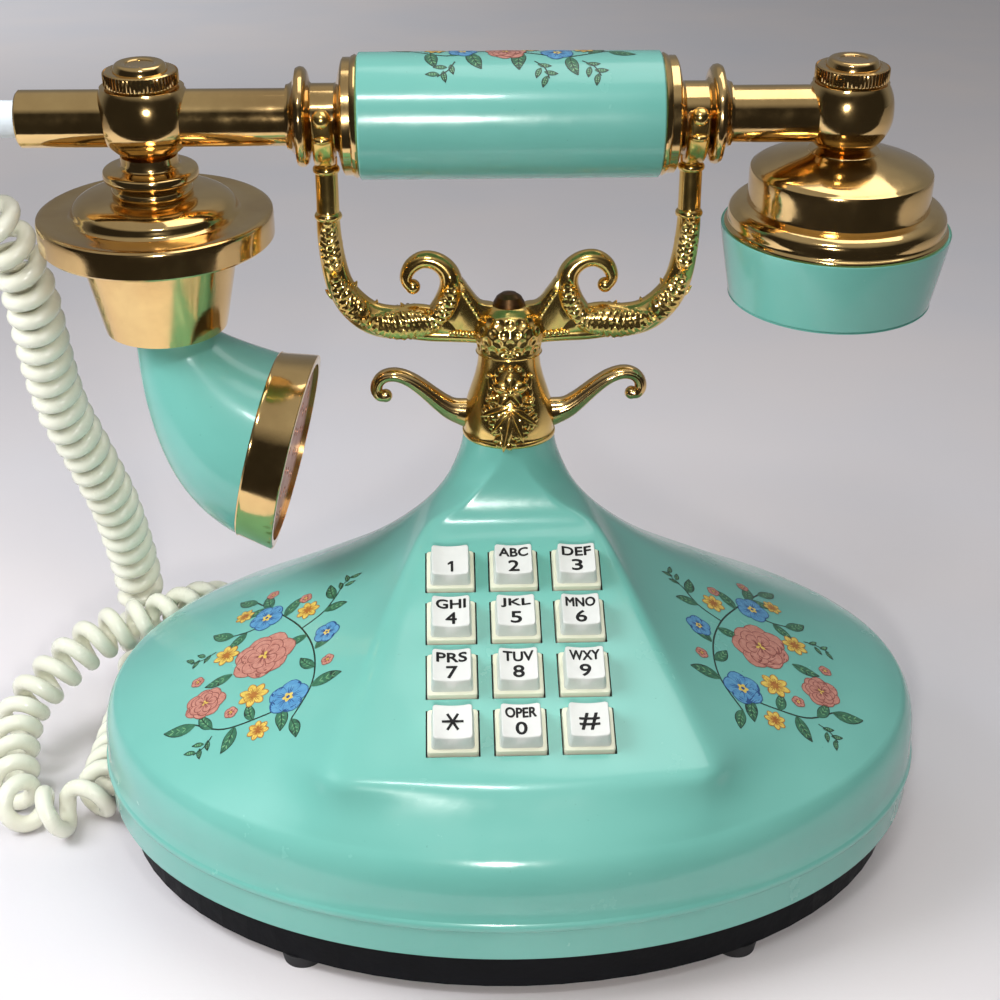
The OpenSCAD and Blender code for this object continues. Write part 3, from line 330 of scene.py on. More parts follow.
# painted shade: dark brown on the walls of the key openings, standing in for the shade inside the holes
OPENING_SHADE = plain_paint("opening_painted_shade", linear(74, 62, 44), linear(48, 38, 28), 0.6, scale=200)

# ---------- cord ----------

CORD_D = 5.0
CURL_D = 15.6
DROP_PITCH, BEND_PITCH, LOOP_PITCH = 6.2, 12.0, 7.8
HELIX_R = (CURL_D - CORD_D) / 2
CORD_CLEAR = 0.2  # kept between the cord and the table
CURL_Z = FLOOR_Z + CURL_D / 2 + CORD_CLEAR
LAY_Z = FLOOR_Z + CORD_D / 2 + CORD_CLEAR
PLATE_A, PLATE_B = 234 / 2 - 5.6, 184 / 2 - 5.6
GROMMET_X = -34
GROMMET_Y = PLATE_B * math.sqrt(1 - (GROMMET_X / PLATE_A) ** 2) + 7
CORD_START = (-130.5, 16, 197.7)
CORD_END = (GROMMET_X, GROMMET_Y, 5)
CORD_ROUTE = [
    CORD_START, (-135.5, 16, 197.7), (-141, 16.4, 195), (-143.6, 17.2, 187.6), (-141, 18.4, 179),
    (-136, 20, 169.6), (-132.6, 23, 158), (-131, 26.6, 146), (-130.8, 31, 133), (-130.6, 36, 120),
    (-129.4, 41, 107), (-126.6, 46, 95), (-123.6, 51, 82), (-121.2, 56, 70), (-120, 61.4, 57),
    (-119.4, 67.6, 43), (-119.6, 73, 29), (-119.8, 71, 14.6), (-119.8, 61.6, 5.6),
    (-119.4, 49, CURL_Z), (-119.4, 34, CURL_Z), (-119.8, 20, CURL_Z), (-120.2, 7, CURL_Z),
    (-122, -5.6, CURL_Z), (-130, -13.4, CURL_Z), (-140.2, -12, CURL_Z), (-146.6, -3.4, CURL_Z),
    (-148.8, 6, 4.8), (-150.6, 16, 7.4), (-150.4, 25.6, 11.4), (-147, 32, 15.6), (-141.6, 37, 19.6),
    (-136, 42, 23.2), (-129.8, 47, 26.2), (-122, 50.4, 28.6), (-113, 52.4, 30), (-104.6, 57.8, 30),
    (-97.6, 66.6, 27.6), (-91.4, 76, 21.6), (-84.6, 84.4, 14), (-76.4, 91, 7), (-67, 96, 1.6),
    (-57, 100, -1), (-47, 102, LAY_Z), (-39.4, 100.8, 0.6), (-35.4, 98, 3.8),
    (GROMMET_X, GROMMET_Y + CORD_D, 5), CORD_END,
]
LINE_FINE = 6
CURL_STEPS = 8
EASE_TURNS = 2.8  # turns over which the curls open out at each end


def cord_centre():
    """The cord's middle line: the route wound into curls, as the frame's solid has it."""
    line = smooth_line(CORD_ROUTE, LINE_FINE)
    along = np.concatenate([[0], np.cumsum(np.linalg.norm(np.diff(line, axis=0), axis=1))])
    heads = headings(line)
    side = [np.array([0.0, 1, 0])]
    for t in heads[1:]:
        v = side[-1]
        side.append(unit(v - (v @ t) * t))
    side = np.array(side)
    total = along[-1]

    def at(table, s):
        return np.array([np.interp(s, along, table[:, c]) for c in range(3)])

    def out_at(s, a):
        t = unit(at(line, min(s + 0.5, total)) - at(line, max(s - 0.5, 0)))
        v = at(side, s)
        n = unit(v - (v @ t) * t)
        return math.cos(a) * n + math.sin(a) * np.cross(t, n)

    def mark(i):
        return along[round(i * LINE_FINE)]

    start, end = mark(3) - 4, mark(41) + 2
    # spacing of the curls at marks along the route
    pitch_x, pitch_y = zip(
        (start, 2.1 * DROP_PITCH), (mark(4), 1.6 * DROP_PITCH), (mark(5), 1.25 * DROP_PITCH), (mark(7), DROP_PITCH),
        (mark(14), DROP_PITCH), (mark(15.5), 1.36 * DROP_PITCH), (mark(18.5), 1.36 * DROP_PITCH),
        (mark(20), LOOP_PITCH), (mark(22), LOOP_PITCH), (mark(23), BEND_PITCH), (mark(26), BEND_PITCH),
        (mark(28), LOOP_PITCH), (mark(39.5), LOOP_PITCH), (end, 1.7 * LOOP_PITCH),
    )

    def reach(s):
        x = min((s - start) / DROP_PITCH, (end - s) / LOOP_PITCH) / EASE_TURNS
        x = min(max(x, 0), 1)
        return HELIX_R * x * x * (3 - 2 * x)

    # stations as the frame's solid has them, eight to a curl, then three points to each of them
    marks, s, i = [], start, 0
    while s < end:
        marks.append((s, 2 * math.pi * i / CURL_STEPS))
        s += np.interp(s, pitch_x, pitch_y) / CURL_STEPS
        i += 1
    fine = []
    for (s0, a0), (s1, a1) in zip(marks, marks[1:]):
        fine += [(s0 + (s1 - s0) * k / 3, a0 + (a1 - a0) * k / 3) for k in range(3)]
    fine.append(marks[-1])
    last = marks[-1][1]
    plain0 = [(x, 0) for x in np.arange(CORD_D + 3, start - 1, 1.2)]
    plain1 = [(x, last) for x in np.arange(end + 2, total - CORD_D - 3, 1.7)]
    pts = [np.array(CORD_START), np.array(CORD_START) - [CORD_D, 0, 0]]
    pts += [at(line, s) + reach(s) * out_at(s, a) for s, a in plain0 + fine + plain1]
    pts += [np.array(CORD_END) + [0, CORD_D, 0], np.array(CORD_END)]
    return np.array(pts)


def tube_rings(path, radius, sides):
    """Round cuts along a path, turned as little as the path allows."""
    t = headings(path)
    u = unit(np.cross(t[0], [0, 0, 1]) if abs(t[0][2]) < 0.9 else [0, 1, 0])
    rings = []
    for p, d in zip(path, t):
        u = unit(u - (u @ d) * d)
        rings.append(oval(p, u, np.cross(d, u), radius, radius, sides))
    return rings


cord_path = cord_centre()
cord_build = Build()
cord_build.rings(tube_rings(cord_path, CORD_D / 2, 12))
cord = cord_build.make("handset_curly_cord", [IVORY], 60)
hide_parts("handset_cord")
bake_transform(cord)

# ---------- CAD nodes that stay ----------

NODE_PAINT = {
    GILT: "handset_tube spool_left spool_right ball_left ball_right cap_left cap_right "
          "transmitter_stem transmitter_dish cone_cup horn_ring receiver_housing column",
    MINT: "grip_sleeve ear_cup horn body_shell",
    CAST_GILT: "side_arm_left side_arm_right cradle_yoke",
    ROSE: "mouth_grille",
    DARK_GILT: "hub_finial",
    WHITE: "cord_bush",
    BLACK: "base_plate line_jack",
    RUBBER: "rubber_feet",
    STEEL: "base_screws column_nut plunger_rod plunger_clip plunger_spring ringer_bracket clapper",
    BELL: "ringer_gong_left ringer_gong_right",
    COPPER: "ringer_coil",
    BOARD: "main_board keypad_board",
    GREY: "keypad_frame hook_switch transmitter_capsule receiver_capsule",
    IVORY: "cord_grommet",
    SKIRT: "switch_button key_1 key_2 key_3 key_4 key_5 key_6 key_7 key_8 key_9 key_star key_0 key_hash",
}
for paint, names in NODE_PAINT.items():
    for name in names.split():
        obj = frame["nodes"][name]
        obj.data.materials.clear()
        obj.data.materials.append(paint)

# ---------- housing ----------

BODY_A, BODY_B = 117, 92
LIP_H, CREASE_H, NECK_H, NECK_R, NECK_BACK, SHELL_T = 12.7, 41, 109.2, 12.7, 16, 2.6
CREASE_A, CREASE_B = BODY_A - 4, BODY_B - 4
WALL = np.array([
    (12.7, 1), (13.2, 0.95), (19.6, 0.9), (21.1, 0.85), (21.35, 0.5), (21.7, 0.12), (22.2, -0.05), (23, -0.05),
    (23.5, 0.12), (23.85, 0.45), (24.1, 0.6), (28, 0.68), (32, 0.8), (34, 1.0), (36, 1.4), (37.6, 1.9), (39, 2.6),
    (40.1, 3.25), (41, 4),
])
WINGS = smooth_line([
    (0, 1), (0.04, 0.95), (0.1, 0.85), (0.195, 0.7), (0.292, 0.55), (0.393, 0.4), (0.49, 0.28), (0.6, 0.172),
    (0.7, 0.098), (0.8, 0.048), (0.92, 0.012), (1, 0),
], 8)
PANEL_SLOPE = math.radians(24.3)
PANEL_LOW_Y, PANEL_LOW_Z, PANEL_LEN = -75, 55, 76
PANEL_LOW_W, PANEL_TOP_W = 48, 26
PANEL_TOP_Z = PANEL_LOW_Z + PANEL_LEN * math.sin(PANEL_SLOPE)
PANEL_TOP_Y = PANEL_LOW_Y + PANEL_LEN * math.cos(PANEL_SLOPE)
PANEL_WIDTHS = smooth_line([
    (PANEL_LOW_Z, PANEL_LOW_W), (PANEL_TOP_Z, PANEL_TOP_W), (PANEL_TOP_Z + 7, 0.55 * PANEL_TOP_W),
    (PANEL_TOP_Z + 14, 0.25 * PANEL_TOP_W), (NECK_H, 0),
], 6)
NECK_FRONT = NECK_BACK - NECK_R
ARC_Z = PANEL_TOP_Z + (NECK_FRONT - PANEL_TOP_Y) * math.tan(PANEL_SLOPE)
BROW_POWER, BROW_SOFT = 0.7, 6
FRONT_N, BACK_N = 44, 156  # points of an outline on the panel and round the rest


def out_share(z):
    return np.interp((z - CREASE_H) / (NECK_H - CREASE_H), WINGS[:, 0], WINGS[:, 1])


def half_axes(z):
    if z <= CREASE_H:
        inset = np.interp(z, WALL[:, 0], WALL[:, 1])
        return BODY_A - inset, BODY_B - inset
    return NECK_R + (CREASE_A - NECK_R) * out_share(z), NECK_R + (CREASE_B - NECK_R) * out_share(z)


def mid_y(z):
    return 0 if z <= CREASE_H else NECK_BACK * (1 - out_share(z))


def panel_y(z):
    if z > PANEL_TOP_Z:
        a, b = PANEL_TOP_Z - 2 * ARC_Z + NECK_H, 2 * (ARC_Z - PANEL_TOP_Z)
        share = (math.sqrt(b * b + 4 * a * (z - PANEL_TOP_Z)) - b) / (2 * a)
        return NECK_FRONT + (PANEL_TOP_Y - NECK_FRONT) * (1 - share) ** 2
    return PANEL_LOW_Y + (z - PANEL_LOW_Z) / math.tan(PANEL_SLOPE)


def panel_w(z):
    return max(np.interp(z, PANEL_WIDTHS[:, 0], PANEL_WIDTHS[:, 1]), 0) if z < NECK_H else 0


def oval_r(a, b, g):
    return 1 / math.hypot(math.cos(g) / a, math.sin(g) / b)


def panel_r(z, g):
    a, half = half_axes(z)
    w, f = panel_w(z), mid_y(z) - panel_y(z)
    c, s = abs(math.cos(g)), math.sin(g)
    b = min(f, half) if s < 0 else half
    px, py = w / a, -f / b
    d = math.hypot(px, py)
    if w == 0 or d <= 1:
        return oval_r(a, b, g)
    touch = math.atan2(py, px) + math.acos(1 / d)
    if math.atan2(s, c) <= math.atan2(-f, w):
        return f / abs(s)
    if math.atan2(s / b, c / a) < touch:
        return 1 / (c * math.cos(touch) / a + s * math.sin(touch) / b)
    return oval_r(a, b, g)


def brow_r(z, g):
    share = (z - CREASE_H) / (PANEL_LOW_Z - CREASE_H)
    level = oval_r(*half_axes(z), g)
    foot = panel_r(PANEL_LOW_Z, g)
    gain = foot - oval_r(*half_axes(PANEL_LOW_Z), g)
    rise = 1 - (1 - share) ** BROW_POWER
    run = oval_r(CREASE_A, CREASE_B, g) * (1 - rise) + foot * rise
    return level + max(0, run - level) * (gain / (gain + BROW_SOFT)) ** (1 - share)


def cut_ring(z, inset=0, drop=0):
    """The housing's outline at one level, with more of its points on the keypad's panel."""
    at = max(z, PANEL_LOW_Z)
    c = max(math.radians(20), math.atan2(panel_w(at), mid_y(at) - panel_y(at)))
    q = math.pi / 2
    angles = [-q - c + 2 * c * k / FRONT_N for k in range(FRONT_N)]
    angles += [-q + c + (2 * math.pi - 2 * c) * k / BACK_N for k in range(BACK_N)]
    ring = []
    for g in angles:
        r = panel_r(z, g) if z >= PANEL_LOW_Z else brow_r(z, g) if z > CREASE_H else oval_r(*half_axes(z), g)
        ring.append(((r - inset) * math.cos(g), mid_y(z) + (r - inset) * math.sin(g), z - drop))
    return np.array(ring)


def spread(a, b, n, power=1.0):
    return [a + (b - a) * (k / n) ** power for k in range(1, n + 1)]


def housing_skin():
    """Rings of the outside, the kinks of the level cuts softened as in a moulding."""
    levels = list(WALL[:, 0]) + spread(CREASE_H, PANEL_LOW_Z, 14, 1.25) + spread(PANEL_LOW_Z, PANEL_TOP_Z, 30)
    levels += spread(PANEL_TOP_Z, NECK_H, 22)
    skin = np.array([cut_ring(z) for z in levels])
    crease = len(WALL) - 1
    for _ in range(3):
        soft = 0.5 * skin + 0.25 * (np.roll(skin, 1, 1) + np.roll(skin, -1, 1))
        skin[crease + 1:-2] = soft[crease + 1:-2]
        skin[crease + 2:-2] = 0.6 * skin[crease + 2:-2] + 0.2 * (skin[crease + 1:-3] + skin[crease + 3:-1])
    return skin


def on_panel(x=0.0, y=0.0, z=0.0):
    return (Matrix.Translation((0, PANEL_LOW_Y, PANEL_LOW_Z)) @ Matrix.Rotation(PANEL_SLOPE, 4, "X")
            @ Matrix.Translation((x, y, z)))


def moved(matrix, pts):
    m = np.array(matrix)
    return np.asarray(pts, float) @ m[:3, :3].T + m[:3, 3]


def cut_away(obj, build, sharp=35):
    """Takes the forms of build out of obj's mesh."""
    cutter = build.make("cutter", [])
    mod = obj.modifiers.new("cut", "BOOLEAN")
    mod.object = cutter
    mod.solver = "EXACT"
    mesh = bpy.data.meshes.new_from_object(obj.evaluated_get(bpy.context.evaluated_depsgraph_get()))
    obj.modifiers.clear()
    obj.data = mesh
    bpy.data.objects.remove(cutter)
    mesh.polygons.foreach_set("use_smooth", [True] * len(mesh.polygons))
    mesh.set_sharp_from_angle(angle=math.radians(sharp))


KEY_PITCH, KEY_OPEN, PANEL_MARGIN = 17, 13.6, 6.8
KEY_NAMES = [["star", "0", "hash"], ["7", "8", "9"], ["4", "5", "6"], ["1", "2", "3"]]
KEYS = {KEY_NAMES[row][col]: ((col - 1) * KEY_PITCH, PANEL_MARGIN + KEY_OPEN / 2 + row * KEY_PITCH)
        for row in range(4) for col in range(3)}
outside = housing_skin()


def make_housing():
    inner = [cut_ring(z, SHELL_T, z - at) for z, at in ((LIP_H + 0.01, LIP_H), (22.6, 22.6), (36, 36))]
    roof = [CREASE_H] + [CREASE_H + s * 14 for s in (0.08, 0.2, 0.38, 0.6, 0.84)]
    roof += [PANEL_LOW_Z + s / 8 * (PANEL_TOP_Z - PANEL_LOW_Z) for s in range(9)]
    roof += [PANEL_TOP_Z + 2, PANEL_TOP_Z + 5]
    inner += [cut_ring(z, SHELL_T, SHELL_T) for z in roof]
    rings = inner[::-1] + list(outside)
    b = Build()
    b.rings(rings)
    obj = b.make("housing", [MINT, OPENING_SHADE])
    holes = Build()
    h = KEY_OPEN / 2
    for x, y in KEYS.values():
        box = [(sx * h, sy * h, sz) for sz in (-9, 6) for sx, sy in ((-1, -1), (1, -1), (1, 1), (-1, 1))]
        holes.rings([moved(on_panel(x, y), box[:4]), moved(on_panel(x, y), box[4:])])
    cut_away(obj, holes)
    # The walls of the key openings just under the panel take the second material, the dark brown painted shade.
    back = np.array(on_panel().inverted())
    up = Vector(on_panel().to_3x3().col[2])
    for poly in obj.data.polygons:
        p = np.array(poly.center) / MM
        q = back[:3, :3] @ p + back[:3, 3]
        if abs(poly.normal @ up) < 0.2 and abs(q[0]) < 25 and 5 < q[1] < 74 and -5 < q[2] < 1:
            poly.material_index = 1
    return piece(obj, "base", "mint_plastic", "body_shell")


make_housing()

# ---------- keys ----------

KEY_TEXT = {"1": "", "2": "ABC", "3": "DEF", "4": "GHI", "5": "JKL", "6": "MNO", "7": "PRS", "8": "TUV",
            "9": "WXY", "star": "", "0": "OPER", "hash": ""}
SKIRT_H, CAP_H = 1.4, 4.8
SKIRT_LOW, STEM_LOW = -4.64, -9.64  # as on the frame's keys, so that a pressed key clears its guide and board


def glyphs(text, height, width, x, y, bold):
    """Flat letters as (points, triangles), height by width, centred on x, y, with strokes thickened by bold."""
    data = bpy.data.curves.new("letters", "FONT")
    data.body = text
    data.resolution_u = 4
    obj = add_object("letters", data)
    mesh = bpy.data.meshes.new_from_object(obj.evaluated_get(bpy.context.evaluated_depsgraph_get()))
    pts = np.array([v.co for v in mesh.vertices])[:, :2]
    faces = [list(p.vertices) for p in mesh.polygons]
    bpy.data.objects.remove(obj)
    lo, hi = pts.min(0), pts.max(0)
    scale = ((width - 2 * bold) / (hi[0] - lo[0]), (height - 2 * bold) / (hi[1] - lo[1]))
    pts = (pts - (lo + hi) / 2) * scale + (x, y)
    shifts = [(0, 0)] + [(bold * math.cos(k * math.pi / 4), bold * math.sin(k * math.pi / 4)) for k in range(8)]
    return (np.concatenate([pts + d for d in shifts]),
            [[i + k * len(pts) for i in f] for k in range(len(shifts)) for f in faces])


def one_shape(x, y):
    """A numeral one with a flag."""
    pts = [(0.1, -1.8), (0.8, -1.8), (0.8, 1.8), (0.2, 1.8), (-0.7, 1.1), (-0.7, 0.45), (0.1, 0.85)]
    return np.array(pts) + (x, y), [[0, 1, 2, 6], [6, 2, 3], [6, 3, 4, 5]]


def rounded_square(w, r, z):
    """A square of width w with corners of radius r, in corner points and points along each edge."""
    h, n, edge = w / 2 - r, 5, 7
    out = []
    corners = ((1, 1), (-1, 1), (-1, -1), (1, -1))
    for q, (cx, cy) in enumerate(corners):
        for a in (math.pi / 2 * (q + k / (n - 1)) for k in range(n)):
            out.append((cx * h + r * math.cos(a), cy * h + r * math.sin(a), z))
        (x0, y0, _), (ux, uy) = out[-1], (corners[(q + 1) % 4][0] - cx, corners[(q + 1) % 4][1] - cy)
        out += [(x0 + ux * h * k / edge, y0 + uy * h * k / edge, z) for k in range(1, edge)]
    return out


def star_shape(size):
    """Six-armed star of bars, as (points, faces)."""
    pts, faces = [], []
    for k in range(3):
        a = math.radians(60 * k)
        u, v = np.array((math.cos(a), math.sin(a))), np.array((-math.sin(a), math.cos(a)))
        faces.append([len(pts) + i for i in range(4)])
        pts += [u * size - v * 0.34, u * size + v * 0.34, -u * size + v * 0.34, -u * size - v * 0.34]
    return np.array(pts), faces


def dish(x):
    return 0.8 * max(0, 1 - (x / 4.8) ** 2)


def make_key(name, x, y):
    b = Build()
    skirt = KEY_OPEN - 0.8
    b.rings([rounded_square(skirt, 0.8, SKIRT_LOW), rounded_square(skirt, 0.8, SKIRT_H - 0.35),
             rounded_square(skirt - 0.25, 0.8, SKIRT_H - 0.1), rounded_square(skirt - 0.8, 0.7, SKIRT_H)], 1)
    b.rings([rounded_square(4.4, 0.3, STEM_LOW), rounded_square(4.4, 0.3, SKIRT_LOW + 0.4)], 1)
    top = SKIRT_H + CAP_H
    rings = [rounded_square(10.9, 1.0, SKIRT_H - 0.2), rounded_square(10.8, 1.0, SKIRT_H + 0.3),
             rounded_square(10, 0.9, top - 1.2)]
    for w, drop in ((9.9, 0.4), (9.75, 0.16), (9.5, 0.03), (9.1, 0), (8, 0), (6.4, 0), (4.6, 0), (2.6, 0), (0.8, 0)):
        rings.append([(px, py, top - drop - dish(px)) for px, py, _ in rounded_square(w, min(0.8, 0.12 * w), top)])
    b.rings(rings, 0)
    letters = KEY_TEXT[name]
    if name == "star":
        marks = [star_shape(2.7)]
    elif name == "1":
        marks = [one_shape(0, -2.1)]
    elif name == "hash":
        marks = [glyphs("#", 5.0, 5.2, 0, -0.6, 0.12)]
    else:
        marks = [glyphs(name, 3.8, 3.0, 0, -2.2, 0.12)]
    if letters:
        marks.append(glyphs(letters, 3.1, 7.9, 0, 2.3, 0.13))
    for pts, faces in marks:
        b.add([(px, py, top - dish(px) + 0.06) for px, py in pts], faces, 2)
    b.move(on_panel(x, y))
    obj = b.make("key_top_" + name, [CAP, SKIRT, INK], 40)
    body = frame["nodes"]["key_" + name]["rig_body"]
    piece(obj, body, "key_plastic", "key_" + name)


for key, (kx, ky) in KEYS.items():
    make_key(key, kx, ky)

# ---------- turned pieces ----------

HANDSET_Z, HUB_Z, LEAN = 197.7, 133.2, math.radians(5)
BALL_L, BALL_R = 93.5, 88
TURNED_SIDES = 128


def on_handset(x=0.0):
    return (Matrix.Translation((0, NECK_BACK, HANDSET_Z)) @ Matrix.Rotation(LEAN, 4, "X")
            @ Matrix.Translation((x, 0, 0)))


def soften(profile, sharp=38):
    """Rounds a turning profile between its sharp corners."""
    p = [np.array(q, float) for q in profile]
    runs, run = [], [p[0]]
    for i in range(1, len(p)):
        run.append(p[i])
        if i < len(p) - 1:
            a, b = p[i] - p[i - 1], p[i + 1] - p[i]
            turn = abs(math.degrees(math.atan2(a[0] * b[1] - a[1] * b[0], a @ b)))
            if turn > sharp:
                runs.append(run)
                run = [p[i]]
    runs.append(run)
    out = []
    for r in runs:
        out += list(smooth_line(r, 4) if len(r) > 2 else r)[(1 if out else 0):]
    return out


def turned(name, node, profile, place, mat=GILT, slot="gilt_plate", closed=False, sharp=38, extra=None):
    """A lathe form of (radius, height) points on the handset that stands for a CAD node."""
    b = Build()
    pts = soften(list(profile) + ([profile[0]] if closed else []), sharp)
    if closed:
        b.loop(lathe_rings(pts[:-1], TURNED_SIDES))
    else:
        b.rings(lathe_rings(pts, TURNED_SIDES))
    if extra:
        extra(b)
    b.move(place)
    return piece(b.make(name, [mat], 30), "handset", slot, node)


TUBE_R, GRIP_R, GROOVE_R, FORK_X, FORK_W = 7.3, 16.1, 8.5, 47.8, 5.4
ALONG = Matrix.Rotation(math.pi / 2, 4, "Y")
TO_LEFT = Matrix.Rotation(-math.pi / 2, 4, "Y")
turned("tube_bar", "handset_tube",
       [(4.9, -125.5), (TUBE_R - 0.5, -125.5), (TUBE_R, -125), (TUBE_R, 90.7), (6, 90.7), (6, -124.3), (4.9, -124.3)],
       on_handset() @ ALONG, closed=True)
turned("grip_barrel", "grip_sleeve",
       [(13.4, -38.7), (GRIP_R - 0.35, -38.7), (GRIP_R, -38.35), (GRIP_R, 38.35), (GRIP_R - 0.35, 38.7),
        (13.4, 38.7)],
       on_handset() @ ALONG, MINT, "mint_plastic", closed=True)
G0, W0, W1 = 38.7, FORK_X - FORK_W / 2 - 0.5, FORK_X + FORK_W / 2 + 0.5
SPOOL = [
    (TUBE_R + 0.1, G0 - 5), (13.3, G0 - 5), (13.3, G0), (GRIP_R - 0.9, G0), (GRIP_R - 0.5, G0 + 0.8),
    (GRIP_R - 0.9, G0 + 1.6), (GRIP_R - 1.2, G0 + 1.9), (GRIP_R - 1.2, G0 + 3.8), (GRIP_R - 2.2, G0 + 4.4),
    (GRIP_R - 5, W0 - 0.8), (GROOVE_R + 0.6, W0 - 0.3), (GROOVE_R, W0 + 0.3), (GROOVE_R, W1 - 0.3),
    (GROOVE_R + 0.6, W1 + 0.2), (GROOVE_R + 3, W1 + 0.8), (GROOVE_R + 4, W1 + 1.6), (GROOVE_R + 4.2, W1 + 2.6),
    (GROOVE_R + 3.8, W1 + 3.6), (GROOVE_R + 1.6, W1 + 4.2), (GROOVE_R + 0.1, W1 + 5.2), (GROOVE_R - 0.3, W1 + 6.2),
    (TUBE_R + 0.1, W1 + 6.2),
]
for side, spin in (("left", TO_LEFT), ("right", ALONG)):
    turned("collar_" + side, "spool_" + side, SPOOL, on_handset() @ spin, closed=True)


def cap_rim(b):
    count = 60
    for k in range(count):
        a = 2 * math.pi * k / count
        c = np.array((9.2 * math.cos(a), 9.2 * math.sin(a), 0))
        b.rings([oval(c + (0, 0, z), (math.cos(a), math.sin(a), 0), (-math.sin(a), math.cos(a), 0), r, 0.36, 6)
                 for z, r in ((0.6, 0.15), (0.9, 0.34), (3.65, 0.34), (3.95, 0.15))])


for side, x, wide in (("left", -BALL_L, 1.16), ("right", BALL_R, 1.07)):
    turned("ball_" + side + "_shell", "ball_" + side,
           [(0, -9.4), (5.7, -9.4)] + [(11 * math.cos(t), 11 * math.sin(t)) for t in np.linspace(-1.02, 0, 18)]
           + [(11 * math.sqrt(1 - (z / 13) ** 2.4), z) for z in np.linspace(0.8, 8.35, 12)] + [(8.5, 8.4), (0, 8.4)],
           on_handset(x) @ Matrix.Diagonal((wide, 1, 1, 1)))
    cap = [(0, 0.05), (8.5, 0.05), (8.6, 0.5), (9.1, 0.7), (9.1, 3.8), (8.75, 4.15), (7.5, 4.2), (7.25, 3.95),
           (6.95, 3.95), (6.75, 4.7), (6.3, 5.6), (5.6, 5.98), (4.2, 5.95), (3.6, 5.75), (3.2, 5.5), (0, 5.4)]
    turned("cap_" + side + "_knurled", "cap_" + side, cap, on_handset(x) @ Matrix.Translation((0, 0, 8.4)),
           extra=cap_rim)

turned("mouthpiece_stem", "transmitter_stem",
       [(0, -9.45), (7.4, -9.45), (7.7, -12), (9, -12.6), (11.8, -13), (12.4, -14), (12.2, -15.4), (10.4, -16.4),
        (9.6, -17), (10.4, -17.8), (10.6, -18.8), (10.2, -19.6), (0, -19.6)],
       on_handset(-BALL_L), sharp=60)
DISH_Z, DISH_R = -24.8, 31
turned("mouthpiece_dish", "transmitter_dish",
       [(0, -19.65), (11, -19.65), (15, -20), (18.6, -20.8), (20.9, -22.2), (21.8, -24), (22.6, DISH_Z),
        (26, DISH_Z - 0.15), (DISH_R - 1.4, DISH_Z), (DISH_R - 0.4, DISH_Z - 0.3), (DISH_R, DISH_Z - 1.2),
        (DISH_R, DISH_Z - 7), (DISH_R - 0.5, DISH_Z - 7.6), (DISH_R - 2.6, DISH_Z - 7.6), (DISH_R - 2.6, DISH_Z - 2),
        (22.5, DISH_Z - 2), (20, -24.4), (17, -22.2), (0, -21.6)],
       on_handset(-BALL_L))
CONE_FOOT = -56.5
turned("mouthpiece_cone", "cone_cup",
       [(20.8, DISH_Z - 2.05), (23, DISH_Z - 2.05), (22.4, DISH_Z - 3.65), (16.9, CONE_FOOT + 1.2),
        (16.5, CONE_FOOT + 0.4), (15.8, CONE_FOOT), (9.1, CONE_FOOT), (9.1, CONE_FOOT + 2), (14.6, CONE_FOOT + 2)],
       on_handset(-BALL_L), closed=True)
turned("receiver_bell", "receiver_housing",
       [(0, -9.45), (8.6, -9.45), (10, -10), (16, -11.6), (21.4, -13.4), (23.4, -14.6), (24.1, -16), (24.1, -23),
        (24.6, -23.9), (27.2, -24.7), (28.7, -26.2), (29, -27.8), (29, -29.3), (29.8, -30.1), (29.8, -31),
        (27.9, -31), (27.4, -29), (22.4, -25), (22.4, -16), (10, -12), (0, -11.6)],
       on_handset(BALL_R), sharp=48)
EAR_FOOT, EAR_TOP = -50.7, -31
ear = turned("receiver_cup", "ear_cup",
             [(0, EAR_FOOT), (25.2, EAR_FOOT), (26.6, EAR_FOOT + 0.4), (27.4, EAR_FOOT + 1.2), (27.7, EAR_FOOT + 2.3),
              (30.5, EAR_TOP - 1.2), (30.2, EAR_TOP - 0.05), (28.1, EAR_TOP - 0.05), (25.4, EAR_FOOT + 2),
              (0, EAR_FOOT + 2)],
             on_handset(BALL_R), MINT, "mint_plastic")
ear_holes = Build()
for ring in range(3):
    for k in range(max(6 * ring, 1)):
        a = math.pi / 3 * k / max(ring, 1)
        spot = (5.4 * ring * math.cos(a), 5.4 * ring * math.sin(a), 0)
        ear_holes.rings([oval(np.array(spot) + (0, 0, z), (1, 0, 0), (0, 1, 0), 1.1, 1.1, 12)
                         for z in (EAR_FOOT - 1, EAR_FOOT + 3)])
ear_holes.move(on_handset(BALL_R))
cut_away(ear, ear_holes, 30)

# ---------- horn ----------

HORN_DIP, HORN_TURN = math.radians(13.2), math.radians(6.5)
HORN_R, HORN_WALL, HORN_NECK_R, RING_W = 26.4, 1.6, 8.8, 10.9
MOUTH_MID = np.array((22.8, -93.6))
ON_HORN = on_handset(-BALL_L) @ Matrix.Rotation(-HORN_TURN, 4, "Z")


def horn_ring(t, inset):
    down = np.array((math.sin(HORN_DIP), math.cos(HORN_DIP)))

    def quad(a, b, c):
        return (1 - t) ** 2 * np.array(a) + 2 * t * (1 - t) * np.array(b) + t * t * c

    o = quad((-HORN_NECK_R, CONE_FOOT), (-10, -104.5), MOUTH_MID - HORN_R * down)
    i = quad((HORN_NECK_R, CONE_FOOT), (13.5, -63), MOUTH_MID + HORN_R * down)
    c, u, r = (o + i) / 2, unit(i - o), np.linalg.norm(i - o) / 2 - inset
    return oval(np.array((c[0], 0, c[1])), (u[0], 0, u[1]), (0, -1, 0), r, r, 96)


